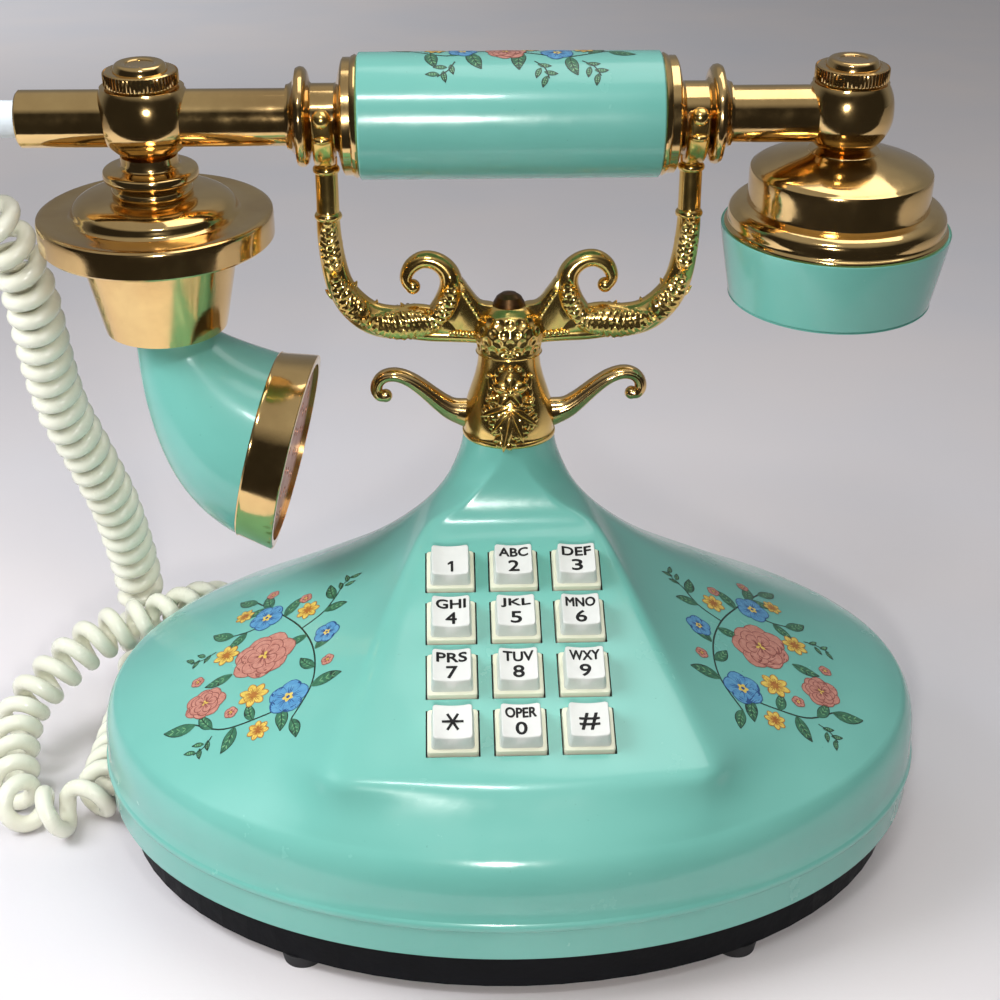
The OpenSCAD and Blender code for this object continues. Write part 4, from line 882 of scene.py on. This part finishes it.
def make_horn():
    b = Build()
    steps = np.linspace(0, 1, 33)
    neck = [oval(np.array((0, 0, CONE_FOOT + 1.9)), (1, 0, 0), (0, -1, 0), HORN_NECK_R - w, HORN_NECK_R - w, 96)
            for w in (0, HORN_WALL)]
    rings = [neck[0]] + [horn_ring(t, 0) for t in steps] + [horn_ring(t, HORN_WALL) for t in steps[::-1]] + [neck[1]]
    b.loop(rings)
    b.move(ON_HORN)
    piece(b.make("mouthpiece_horn", [MINT], 40), "handset", "mint_plastic", "horn")


make_horn()
ON_MOUTH = (ON_HORN @ Matrix.Translation((MOUTH_MID[0], 0, MOUTH_MID[1]))
            @ Matrix.Rotation(math.pi / 2 + HORN_DIP, 4, "Y"))
FRONT_R = HORN_R + 1.6
turned("horn_mouth_ring", "horn_ring",
       [(HORN_R - 2.6, 0.05), (HORN_R + 0.1, 0.05), (HORN_R + 0.5, 0.5), (HORN_R + 0.4, 1.4),
        (FRONT_R + 0.3, RING_W - 1), (FRONT_R + 0.1, RING_W - 0.3), (FRONT_R - 0.5, RING_W), (FRONT_R - 2.2, RING_W),
        (FRONT_R - 2.2, RING_W - 2.4), (FRONT_R - 4.4, RING_W - 2.4), (FRONT_R - 4.4, RING_W - 3.6)],
       ON_MOUTH, closed=True)

# ---------- column and cradle ----------

COLUMN_H, COLUMN_TOP_R = 24, 8.4
# radius and height over the neck
COLUMN = [(NECK_R, 0), (NECK_R + 0.3, 0.5), (NECK_R + 0.25, 1.3), (NECK_R - 0.15, 1.9), (NECK_R, 0.2 * COLUMN_H),
          (NECK_R - 0.6, 0.36 * COLUMN_H), (NECK_R - 1.7, 0.52 * COLUMN_H), (COLUMN_TOP_R + 1.2, 0.7 * COLUMN_H),
          (COLUMN_TOP_R + 0.3, 0.86 * COLUMN_H), (COLUMN_TOP_R, HUB_Z - NECK_H)]
COLUMN_LINE = np.array(soften([(r, NECK_H + z) for r, z in COLUMN], 60))


def leaf(b, at, way, out, length, width, height, n=9):
    """An almond-shaped leaf lying on a surface: at its middle, way along it, out from the surface."""
    way, out = unit(way), np.asarray(out, float)
    out = unit(out - (out @ way) * way)
    across = np.cross(way, out)
    rings = []
    for k in range(n + 1):
        t = -0.98 + 1.96 * k / n
        w = width / 2 * (1 - t * t) ** 0.8 * (1 - 0.25 * t)
        h = height * math.sqrt(1 - t * t)
        c = np.asarray(at) + way * (t * length / 2) + out * 0.15 * height
        rings.append(oval(c, across, out, w, h, 8))
    b.rings(rings)


def ball(b, at, r, squash=1.0, out=(0, 0, 1), n=12):
    out = unit(out)
    u = unit(np.cross(out, (0, 0, 1) if abs(out[2]) < 0.9 else (0, 1, 0)))
    v = np.cross(out, u)
    t = np.linspace(-math.pi / 2 + 0.05, math.pi / 2 - 0.05, n // 2 + 3)
    b.rings([oval(np.asarray(at) + out * r * squash * math.sin(q), u, v, r * math.cos(q), r * math.cos(q), n)
             for q in t])


def column_spot(turn, x, z, lift=0.0):
    """Point and outward direction on the column, x mm round from its front and z mm over its foot."""
    h = NECK_H + z
    r = np.interp(h, COLUMN_LINE[:, 1], COLUMN_LINE[:, 0])
    a = turn + x / r
    out = np.array((math.sin(a), -math.cos(a), 0.1))
    return np.array(((r + lift) * out[0], NECK_BACK + (r + lift) * out[1], h)), unit(out)


def column_leaf(b, turn, x, z, degrees, length, width, height=0.8, lift=0.1):
    """A leaf on the column whose root is at x, z and which points degrees from the right."""
    c, s = math.cos(math.radians(degrees)), math.sin(math.radians(degrees))
    at, out = column_spot(turn, x + c * length / 2, z + s * length / 2, lift)
    tip, _ = column_spot(turn, x + c * length, z + s * length, lift)
    root, _ = column_spot(turn, x, z, lift)
    leaf(b, at, tip - root, out, length, width, height)


def lobed_leaf(b, turn, x, z, degrees, length, lift=0.25):
    """A leaf with pairs of lobes along its rib, as on a vine."""
    c, s = math.cos(math.radians(degrees)), math.sin(math.radians(degrees))
    column_leaf(b, turn, x, z, degrees, length, length * 0.32, 0.9, lift)
    for share, size in ((0.12, 0.42), (0.34, 0.46), (0.56, 0.38), (0.74, 0.26)):
        for side in (-1, 1):
            column_leaf(b, turn, x + c * length * share, z + s * length * share, degrees + side * 48,
                        length * size, length * 0.19, 0.75, lift)
    column_leaf(b, turn, x, z, degrees, length * 0.92, 0.45, 0.5, lift + 0.75)


def column_leaves(b):
    """A blossom over a fan of vine leaves, on the front and on the back."""
    for turn in (0, math.pi):
        for degrees, length in ((-100, 11.5), (-68, 9.5), (-128, 8.5), (-36, 9.5), (-158, 9), (-8, 7), (178, 6.5)):
            lobed_leaf(b, turn, 0, 13.2 + 2.5 * math.sin(math.radians(degrees)), degrees, length)
        for k in range(5):
            column_leaf(b, turn, 0, 16.2, 90 + 72 * k, 5.2, 3.6, 0.9, 0.9)
            column_leaf(b, turn, 0, 16.2, 90 + 72 * k, 4.4, 0.5, 0.5, 1.7)
        at, out = column_spot(turn, 0, 16.2, 1.6)
        ball(b, at, 1.2, out=out)
        for x in (-4.6, 4.6):
            column_leaf(b, turn, x, 15, 90 - 12 * x / 4.6, 5.5, 2.4)
            column_leaf(b, turn, x * 1.35, 13.5, 90 + 20 * x / 4.6, 6, 2.2)
            column_leaf(b, turn, x * 0.9, 19.4, 90 + 30 * x / 4.6, 3.6, 1.8)
            for k in range(4):
                at, out = column_spot(turn, x * (1.15 + 0.2 * (k % 2)), 10.4 + 3 * k, 0.3)
                ball(b, at, 0.85, out=out, n=8)
        for x in (-2.2, 0, 2.2):
            at, out = column_spot(turn, x, 21.8, 0.2)
            ball(b, at, 1.1, out=out, n=10)


def make_column():
    b = Build()
    inner = [(5.8, HUB_Z), (5.8, NECK_H + 3), (2.6, NECK_H + 3), (2.6, 82), (6, 82), (6, NECK_H)]
    on_neck = Matrix.Translation((0, NECK_BACK, 0))
    b.loop([moved(on_neck, r) for r in lathe_rings(list(COLUMN_LINE) + inner)])
    column_leaves(b)
    piece(b.make("column_sleeve", [CAST_GILT], 40), "base", "gilt_plate", "column")


make_column()


def scroll(b, bar, at, side, tip=0.0):
    """A round bar through (x, z, width, depth) points in the XZ plane."""
    data = smooth_line([(x, 0, z, w, d) for x, z, w, d in bar], 5)
    pts = data[:, :3] * (side, 1, 1) + at
    t = headings(pts)
    b.rings([oval(p, (0, 1, 0), (-q[2], 0, q[0]), d / 2, w / 2, 20)
             for p, q, w, d in zip(pts, t, data[:, 3], data[:, 4])])
    if tip:
        ball(b, pts[-1], tip, n=16)
    return pts, t, data[:, 3], data[:, 4]


ARM = [
    (-3.5, -1.5, 9, 6.6), (0, -0.6, 8.4, 6.4), (4, 0.6, 6.6, 6.2), (7, 2.6, 5.6, 6), (9.8, 5, 5, 5.8),
    (12.6, 7.4, 4.6, 5.6), (15.4, 9.4, 4.3, 5.4), (18, 10.6, 4.1, 5.2), (20.4, 11, 3.9, 5.2),
    (22.8, 10.4, 3.7, 5), (24.4, 8.8, 3.5, 4.8), (24.9, 6.6, 3.4, 4.6), (23.9, 4.9, 3.4, 4.4),
    (22.4, 4.8, 3.2, 4),
]
for side, sign in (("left", -1), ("right", 1)):
    arm = Build()
    root = (sign * (NECK_R - 0.9), NECK_BACK, NECK_H + 6.5)
    pts, heads, wide, deep = scroll(arm, ARM, root, sign, tip=1.9)
    for face in (-1, 1):
        rib = pts[8:-8] + np.array((0, face, 0)) * (deep[8:-8, None] / 2 - 0.25)
        arm.rings([oval(p, (0, 1, 0), (-q[2], 0, q[0]), 0.5, w * 0.16, 8)
                   for p, q, w in zip(rib, heads[8:-8], wide[8:-8])])
    piece(arm.make("side_scroll_" + side, [GILT], 50), "base", "gilt_plate", "side_arm_" + side)

BOW = [
    (13, 6, 4, 4), (19.6, 8.6, 7.6, 7), (24.6, 9, 9.4, 8), (31, 8.6, 9.4, 8.2), (37.2, 10, 9, 8),
    (42.2, 14, 8.4, 7.6), (45.4, 19.3, 7.4, 7), (47, 26, 6.8, 6.6), (FORK_X, 34, 6.4, 6.2), (FORK_X, 42, 6, 6),
    (FORK_X, 54.2, 6, 6),
]
CURL = [
    (31, 5.6, 2.4, 3), (26, 6.2, 4.4, 5.4), (20.8, 9.2, 6.4, 7.4), (17, 14, 7, 8), (15.6, 19, 6.4, 7.6),
    (16.6, 23, 5.6, 6.6), (19.6, 25.6, 5, 5.8), (23.2, 26.1, 4.7, 5.4), (26.3, 24.3, 4.2, 5),
    (27.8, 21.2, 3.4, 4.6), (27, 19, 3, 4), (25.6, 18.6, 2.8, 3.6),
]
ROOT = [(0, 3, 5, 6), (8, 4.6, 4.6, 5.6), (15, 5, 4.4, 5.2), (22, 5.2, 4.2, 4.6), (30, 5.4, 2.4, 2.6)]
WEB = [(3, 4), (12, 5.4), (20, 6), (22, 9), (18.6, 13.5), (16, 19.5), (13.4, 21.4), (10.6, 18), (7.6, 14.4),
       (3, 12.6)]


def carved(b, bar, at, side, leaves, tip=0.0):
    """A bar through (x, z, width, depth) points with veined leaves standing up on its two faces.

    leaves are (first share, last share, width share) along the bar, tips at the last share.
    """
    data = smooth_line([(x, 0, z, w, d) for x, z, w, d in bar], 12)
    run = np.concatenate([[0], np.cumsum(np.linalg.norm(np.diff(data[:, :3], axis=0), axis=1))])
    marks = np.arange(0, run[-1], 0.5)
    data = np.stack([np.interp(marks, run, data[:, c]) for c in range(5)], 1)
    pts = data[:, :3] * (side, 1, 1) + at
    sides = 44
    a = np.arange(sides) * 2 * math.pi / sides
    v = np.sin(a)
    rings = []
    for s, p, q, w, d in zip(marks / run[-1], pts, headings(pts), data[:, 3], data[:, 4]):
        lift = np.zeros(sides)
        for first, last, wide in leaves:
            t = (s - first) / (last - first)
            if 0 < t < 1:
                edge = wide * math.sin(math.pi * t ** 0.8) ** 0.65
                inside = np.clip((edge - np.abs(v)) / 0.1, 0, 1) * np.clip(np.abs(np.cos(a)) / 0.2, 0, 1)
                rib = np.abs(np.sin(math.pi * (s * run[-1] / 1.7 - np.sign(last - first) * np.abs(v) * 1.5)))
                lift += inside * (0.3 + 0.5 * rib - 0.3 * np.exp(-((v / 0.09) ** 2)))
        y = np.cos(a) * (d / 2 + lift)
        z = v * (w / 2 + lift)
        rings.append(p + y[:, None] * (0, 1, 0) + z[:, None] * np.array((-q[2], 0, q[0])))
    b.rings(rings)
    if tip:
        ball(b, pts[-1], tip, n=20)


def thorn(b, at, way, size):
    """A leaf's pointed tip that stands off a bar."""
    way = unit(way)
    side = np.cross(way, (0, 1, 0))
    b.rings([oval(np.asarray(at) + way * size * t, (0, 1, 0), side, size * w, size * w * 0.55, 12)
             for t, w in ((-1.6, 0.1), (-1, 0.6), (-0.3, 0.72), (0.2, 0.5), (0.5, 0.26), (0.66, 0.06))])


def hub_rings():
    """The hub's bulb with round hollows beaten into it."""
    sides = 144
    profile = smooth_line([(0.5, 0), (COLUMN_TOP_R, 0), (COLUMN_TOP_R + 0.5, 0.5), (COLUMN_TOP_R + 0.4, 1.6),
                           (9.2, 3.2), (9.8, 5), (9.7, 6.8), (9, 9), (7.6, 11.2), (6.3, 12.4), (5.2, 13.2),
                           (4.2, 13.4), (0.5, 13.4)], 7)
    a = np.arange(sides) * 2 * math.pi / sides
    cells = [(2 * math.pi * (k + 0.5 * (row % 2)) / 18, z)
             for row, z in enumerate((2.7, 5.2, 7.7, 10)) for k in range(18)]
    rings = []
    for r, z in profile:
        dip = np.zeros(sides)
        for ca, cz in cells:
            across = np.abs((a - ca + math.pi) % (2 * math.pi) - math.pi) * r
            dip = np.maximum(dip, np.clip(1 - (across ** 2 + (z - cz) ** 2) / 1.9, 0, 1))
        rr = r - 0.6 * dip if 1 < z < 12 else np.full(sides, r)
        rings.append(np.stack([rr * np.cos(a), rr * np.sin(a), np.full(sides, z)], 1))
    return rings


def make_cradle():
    b = Build()
    root = np.array((0, NECK_BACK, HUB_Z + 0.1))
    b.rings([r + root for r in hub_rings()])
    for face in (-1, 1):
        for k in range(8):
            d = np.array((math.cos(k * math.pi / 4), 0, math.sin(k * math.pi / 4)))
            leaf(b, root + (0, face * 8.9, 2.6) + d * 1.1, d, (0, face, 0), 2.4, 1.2, 0.6, n=6)
        ball(b, root + (0, face * 9.2, 2.6), 0.8, n=10)
    for sign in (-1, 1):
        carved(b, BOW, root, sign,
               [(0.08, 0.4, 0.86), (0.34, 0.6, 0.75), (0.57, 0.8, 0.8)])
        carved(b, CURL, root, sign, [(0.2, 0.56, 0.72)], tip=2.1)
        scroll(b, ROOT, root, sign)
        edge = smooth_line([(x, z) for x, z in WEB + WEB[:1]], 5)[:-1]
        mid = edge.mean(0)
        b.rings([np.stack([sign * (mid[0] + (edge[:, 0] - mid[0]) * k), np.full(len(edge), y),
                           mid[1] + (edge[:, 1] - mid[1]) * k], 1) + root
                 for y, k in ((-2.4, 0.9), (-2, 0.97), (-1.3, 1), (1.3, 1), (2, 0.97), (2.4, 0.9))])
        for face in (-1, 1):
            for k in range(5):
                for side in (-1, 1):
                    at = root + (sign * (8.6 + 1.7 * k), face * 2.5, 5.4 + 0.15 * k)
                    leaf(b, at, (sign, 0, 0.6 * side), (0, face, 0), 2.6, 1.2, 0.6, n=6)
                    at = root + (sign * (8.4 + 0.9 * k), face * 2.7, 11 + 1.5 * k)
                    way = (sign * (0.5 - 0.35 * side), 0, 0.8 + 0.2 * side)
                    leaf(b, at, way, (0, face, 0), 2.8, 1.3, 0.7, n=6)
        for x, z, wx, wz in ((50, 31, 0.35, 1), (45, 30.6, -0.3, 1), (48.4, 17, 0.75, 0.7), (41.6, 19, -0.5, 1),
                             (32, 4.9, 0.95, -0.3), (28.6, 12.8, 0.55, 1), (36, 13.6, -0.2, 1),
                             (41.4, 9.6, 0.9, 0.1)):
            thorn(b, root + (sign * x, 0, z), (sign * wx, 0, wz), 2.4)
        c = np.array((sign * FORK_X, NECK_BACK, HANDSET_Z))
        for y, z, r in ((0, -26, 3.7), (0, -13.6, 3.6)):
            ball(b, c + (0, y, z), r, squash=0.55, n=24)
        arc = [(y, z) for y, z in [(-10.8, 1.6)] + [(-10.8 * math.cos(q), -10.8 * math.sin(q))
               for q in np.linspace(0, math.pi, 25)] + [(10.8, 1.6)]]
        path = np.array([c + (0, y, z) for y, z in arc])
        rings = []
        for p, t in zip(path, headings(path)):
            side = np.array((0, -t[2], t[1]))
            a = np.arange(16) * math.pi / 8
            x = np.sign(np.cos(a)) * np.abs(np.cos(a)) ** 0.5 * FORK_W / 2
            y = np.sign(np.sin(a)) * np.abs(np.sin(a)) ** 0.5 * 2
            rings.append(p + x[:, None] * (1, 0, 0) + y[:, None] * side)
        b.rings(rings)
        for s in (-1, 1):
            ball(b, c + (0, s * 11.15, 1.6), 2.5, n=24)
            ball(b, c + (0, s * 11, -3.4), 2.7, n=20, squash=0.5)
    piece(b.make("cradle_casting", [CAST_GILT], 40), "cradle", "gilt_plate", "cradle_yoke")


make_cradle()

# ---------- painted flowers ----------


def ink(name, light, dark):
    return plain_paint(name, linear(*light), linear(*dark), 0.3, scale=700, bump=0.01, coat=0.2)


FLOWER_INKS = [
    ink("ink_line", (24, 44, 38), (40, 60, 48)),
    ink("ink_leaf", (62, 118, 88), (40, 88, 66)),
    ink("ink_leaf_light", (120, 170, 120), (92, 146, 104)),
    ink("ink_rose", (196, 140, 124), (174, 112, 98)),
    ink("ink_rose_deep", (146, 82, 72), (120, 64, 58)),
    ink("ink_blue", (96, 156, 192), (66, 126, 176)),
    ink("ink_blue_deep", (36, 78, 136), (30, 60, 112)),
    ink("ink_yellow", (222, 196, 96), (202, 168, 66)),
    ink("ink_orange", (172, 112, 46), (146, 84, 36)),
]
LINE, LEAF, LEAF_LIGHT, ROSE_INK, ROSE_DEEP, BLUE, BLUE_DEEP, YELLOW, ORANGE = range(9)


class Print:
    """Flat shapes drawn in a plane in millimetres and laid on a surface, each layer a hair above the last."""

    def __init__(self, lay):
        self.lay = lay
        self.build = Build()
        self.level = self.count = 0

    def strip(self, left, right, color, across=3):
        """Faces between two lines of points."""
        left, right = np.asarray(left), np.asarray(right)
        self.level += 1
        self.count += 1
        lift = 0.04 + 0.0014 * self.level + 0.00003 * self.count
        rows = [self.lay(left + (right - left) * k / across, lift) for k in range(across + 1)]
        n = len(left)
        self.build.add([p for row in rows for p in row],
                       [(i * n + k, i * n + k + 1, (i + 1) * n + k + 1, (i + 1) * n + k)
                        for i in range(across) for k in range(n - 1)], color)

    def blade(self, at, angle, length, width, color, tip=1.0, blunt=0.6, bend=0.0, n=11):
        """A petal or leaf from its root; tip under 1 is broad at the end, over 1 pointed."""
        t = np.linspace(0.0, 1.0, n)
        w = width / 2 * np.sin(math.pi * np.clip(t, 0.02, 0.98) ** (1 / tip)) ** blunt
        turn = angle + bend * (t - 0.5)
        step = np.stack([np.cos(turn), np.sin(turn)], 1) * length / (n - 1)
        mid = np.asarray(at) + np.concatenate([[[0, 0]], np.cumsum(step[:-1], 0)])
        side = np.stack([-np.sin(turn), np.cos(turn)], 1)
        self.strip(mid - side * w[:, None], mid + side * w[:, None], color)
        return mid

    def petal(self, at, angle, length, width, fill, deep, tip=0.62, streaks=3):
        self.blade(at, angle, length + 0.25, width + 0.45, deep, tip)
        self.blade(at, angle, length, width, fill, tip)
        for k in range(streaks):
            spread_angle = (k - (streaks - 1) / 2) * 0.22
            self.blade(at, angle + spread_angle, length * (0.72 - 0.1 * abs(k - 1)), 0.26, deep, n=6)

    def stem(self, pts, width=0.5):
        p = smooth_line(pts, 6)
        d = headings(p)
        side = np.stack([-d[:, 1], d[:, 0]], 1) * width / 2
        self.strip(p - side, p + side, LINE, 1)

    def foliage(self, x, y, degrees, length, wide=0.42, bend=0.5):
        a = math.radians(degrees)
        at = (x, y)
        self.level = 2
        self.blade(at, a, length + 0.4, length * wide + 0.45, LINE, 1.15, 0.8, bend)
        mid = self.blade(at, a, length, length * wide, LEAF, 1.15, 0.8, bend)
        for k in (3, 5, 7):
            for s in (-1, 1):
                self.blade(mid[k], a + bend * (k / 10 - 0.5) + s * 0.7, length * wide * 0.42, 0.3, LEAF_LIGHT, n=5)
        self.strip(mid - (0.12, 0.05), mid + (0.12, 0.05), LINE, 1)

    def rose(self, x, y, r, turn=0.0):
        self.level = 14
        for count, share, reach in ((7, 1.0, 0.95), (6, 0.74, 0.72), (5, 0.5, 0.5)):
            for k in range(count):
                a = turn + 2 * math.pi * k / count + share
                at = (x + 0.1 * r * math.cos(a), y + 0.1 * r * math.sin(a))
                self.petal(at, a, r * reach * (1 + 0.08 * math.sin(5 * a)), r * share * 0.86, ROSE_INK, ROSE_DEEP)
        for k in range(6):
            a = turn + math.pi / 3 * k
            self.blade((x, y), a, r * 0.2, r * 0.12, YELLOW if k % 2 else ROSE_DEEP, n=5)

    def bloom(self, x, y, r, turn=0.0, count=5, fill=BLUE, deep=BLUE_DEEP, eye=YELLOW, wide=0.95):
        self.level = 14
        for k in range(count):
            self.petal((x, y), turn + 2 * math.pi * k / count, r, r * wide, fill, deep)
        for k in range(5):
            self.blade((x, y), turn + 0.6 + 2 * math.pi * k / 5, r * 0.3, r * 0.22, eye, n=5)
        self.blade((x - 0.1 * r, y), 0, r * 0.2, r * 0.2, deep, n=5)

    def sprig(self, x, y, degrees, length):
        """A thin twig of small leaves."""
        a = math.radians(degrees)
        c, s = math.cos(a), math.sin(a)
        half = length / 2
        self.stem([(x, y), (x + c * half - s * 0.8, y + s * half + c * 0.8), (x + c * length, y + s * length)], 0.35)
        for k in range(1, 5):
            t = length * k / 4.6
            self.foliage(x + c * t, y + s * t, degrees + (50 if k % 2 else -50), 3.2, 0.36, 0.3)

    def make(self, name, body, slot):
        return piece(self.build.make(name, FLOWER_INKS, 60), body, slot)


def wing_print(p, flip):
    """A garland curved round a rose, drawn on each wing."""
    def x_of(x):
        return flip * x

    def deg(a):
        return a if flip > 0 else 180 - a

    def lead(*pts):
        p.stem([(x_of(x), y) for x, y in pts])

    lead((-17, -22), (-19, -10), (-15, 2), (-7, 12), (4, 20), (15, 27))
    lead((-17, -14), (-8, -20), (3, -24), (13, -22))
    lead((-7, 12), (-12, 18), (-14, 25))
    lead((4, 20), (10, 14), (17, 12))
    for x, y, a, length in (
        (-19, -11, 160, 9), (-17.5, -4, 35, 7), (-15, 3, 130, 8), (-10, 9, -20, 7), (-12, 18, 165, 7),
        (-13.5, 23, 60, 7), (1, 18, 110, 8), (8, 23, 60, 8), (10, 23.5, -25, 6.5), (15, 27, 20, 8),
        (12, 13, -60, 7), (16, 12, 15, 8), (-12, -18, -110, 8), (-5, -21.5, 60, 6.5), (0, -23.5, -80, 8),
        (7, -23.5, 40, 7), (13, -22, -15, 9), (9, -4, -30, 8), (-17, -22, -120, 7),
    ):
        p.foliage(x_of(x), y, deg(a), length, bend=0.5 * flip)
    p.sprig(x_of(-14), 25, deg(110), 7)
    p.sprig(x_of(19), 6, deg(-30), 8)
    p.sprig(x_of(6), -26, deg(-60), 7)
    p.rose(x_of(1.5), 2.5, 8.4, 0.3)
    p.rose(x_of(13), -14.5, 5.4, 1.1)
    p.bloom(x_of(-13), -14, 5.8, 0.4)
    p.bloom(x_of(7.5), 18.5, 5.2, 1.0)
    p.bloom(x_of(-16.5), 9, 3.8, 0.2)
    for x, y, r in ((-6, 19.5, 3.4), (-1.5, -12.5, 4.2), (14.5, 4, 3.8), (16.5, 21, 2.8), (-8, -25, 3)):
        p.bloom(x_of(x), y, r, x, 7, YELLOW, ORANGE, ORANGE, 0.5)
    for x, y in ((-3, 25), (-21, -2), (19.5, -6), (3, -18.5), (11, 30)):
        p.bloom(x_of(x), y, 1.8, y, 5, ROSE_INK, ROSE_DEEP, YELLOW)


RING_N = FRONT_N + BACK_N
housing_tree = BVHTree.FromPolygons(
    [Vector(p) for ring in outside for p in ring],
    [(i * RING_N + k, i * RING_N + (k + 1) % RING_N, (i + 1) * RING_N + (k + 1) % RING_N, (i + 1) * RING_N + k)
     for i in range(len(outside) - 1) for k in range(RING_N)])
for side, sign in (("left", -1), ("right", 1)):
    heart = Vector((sign * 90, -42, 120))
    up = Vector((-sign * 0.3, 0.93, 0.2)).normalized()
    down = Vector((-sign * 0.32, 0.3, -0.9)).normalized()
    right = up.cross(-down).normalized()
    up = (-down).cross(right).normalized()

    def on_wing(pts, lift):
        out = []
        for x, y in pts:
            spot, normal, _, _ = housing_tree.ray_cast(heart + right * x + up * y, down)
            out.append(tuple(spot + normal * (lift if normal.dot(down) < 0 else -lift)))
        return out

    wing = Print(on_wing)
    wing_print(wing, sign)
    wing.make("wing_flowers_" + side, "base", "mint_plastic")


def on_grip(pts, lift):
    r = GRIP_R + lift
    return [tuple(on_handset() @ Vector((x, -r * math.sin(y / GRIP_R), r * math.cos(y / GRIP_R)))) for x, y in pts]


top = Print(lambda pts, lift: on_grip([(x, -y) for x, y in pts], lift))
top.stem([(-25, 2), (-16, -2), (-6, 2), (4, 0), (14, -3), (25, 1)], 0.5)
for x, y, a, length in ((-25, 2, 150, 7), (-20, 0, -80, 7), (-15, -2, 60, 7), (-10, 0, -70, 8), (-4, 2, 80, 7),
                        (3, 0, -95, 8), (9, -1, 70, 7), (15, -3, -75, 7), (20, -1, 60, 7), (25, 1, -20, 7)):
    top.foliage(x, y, a, length)
for x, y, a in ((-14, -5, -130), (6, -5, -60), (18, -5, -50)):
    top.sprig(x, y, a, 7)
top.rose(-1, 1, 4.6)
top.bloom(-12, 1.5, 3.6)
top.bloom(12, 0, 4, 0.7)
for x, y in ((-19, 3), (5, 4.5), (19, 3)):
    top.bloom(x, y, 2.6, x, 7, YELLOW, ORANGE, ORANGE, 0.5)
top.make("grip_flowers", "handset", "mint_plastic")

# ---------- stage and light ----------


def stage():
    floor = Paint("floor", linear(214, 210, 216), 0.75)
    tone = floor.ramp(floor.noise(3, 3), (0.3, linear(214, 213, 219)), (0.7, linear(226, 219, 219)))
    floor.link(tone, "Base Color")
    floor.bump(floor.noise(500, 4), 0.05, 0.001)
    size, front = 3000, -150  # the table ends just below the picture
    corners = [(-size, front), (size, front), (size, size), (-size, size)]
    make_mesh("floor", [(*c, FLOOR_Z) for c in corners], [(0, 1, 2, 3)], [floor.mat])


def lamp(name, at, aim, size, power, color=(1, 1, 1), size_y=None):
    data = bpy.data.lights.new(name, "AREA")
    data.size = size * MM
    if size_y:
        data.shape = "RECTANGLE"
        data.size_y = size_y * MM
    data.energy = power
    data.color = color
    obj = add_object(name, data)
    obj.location = Vector(at) * MM
    obj.rotation_euler = (Vector(aim) - Vector(at)).to_track_quat("-Z", "Y").to_euler()
    return obj


stage()
lamp("flash", (-25, -415, 245), (0, 0, 90), 26, 0.88, (1.0, 0.97, 0.93))
lamp("window", (-430, -120, 420), (-60, 40, 0), 300, 2.6, (0.93, 0.96, 1.0)).visible_glossy = False
lamp("ceiling", (250, 100, 900), (0, 0, 60), 600, 2.2, (1.0, 0.97, 0.95))
lamp("far_wash", (-700, 1500, 800), (-600, 1500, 0), 700, 5, (0.95, 0.98, 1.0)).visible_glossy = False
lamp("glare", (-30, -340, 560), (0, -84, 46), 90, 0.5, (0.97, 0.99, 1.0), size_y=50)


def room():
    """A plain studio: pale behind the phone, dim behind the camera and soft light overhead."""
    world = bpy.data.worlds.new("room")
    bpy.context.scene.world = world
    world.use_nodes = True
    sky = world.node_tree
    way = sky.nodes.new("ShaderNodeTexCoord").outputs["Generated"]

    split = add_node(sky, "ShaderNodeSeparateXYZ", Vector=way).outputs

    def rise(axis, low, high):
        return add_node(sky, "ShaderNodeMapRange", Value=split[axis], From_Min=low, From_Max=high).outputs["Result"]

    low = mix_colors(sky, rise("Y", -0.1, 0.35), (0.07, 0.065, 0.058), (0.52, 0.54, 0.58))
    total = mix_colors(sky, rise("Z", 0.5, 0.75), low, (0.9, 0.89, 0.87))
    sky.links.new(total, sky.nodes["Background"].inputs["Color"])
    sky.nodes["Background"].inputs["Strength"].default_value = 0.4


room()
bpy.context.scene.view_settings.view_transform = "Standard"
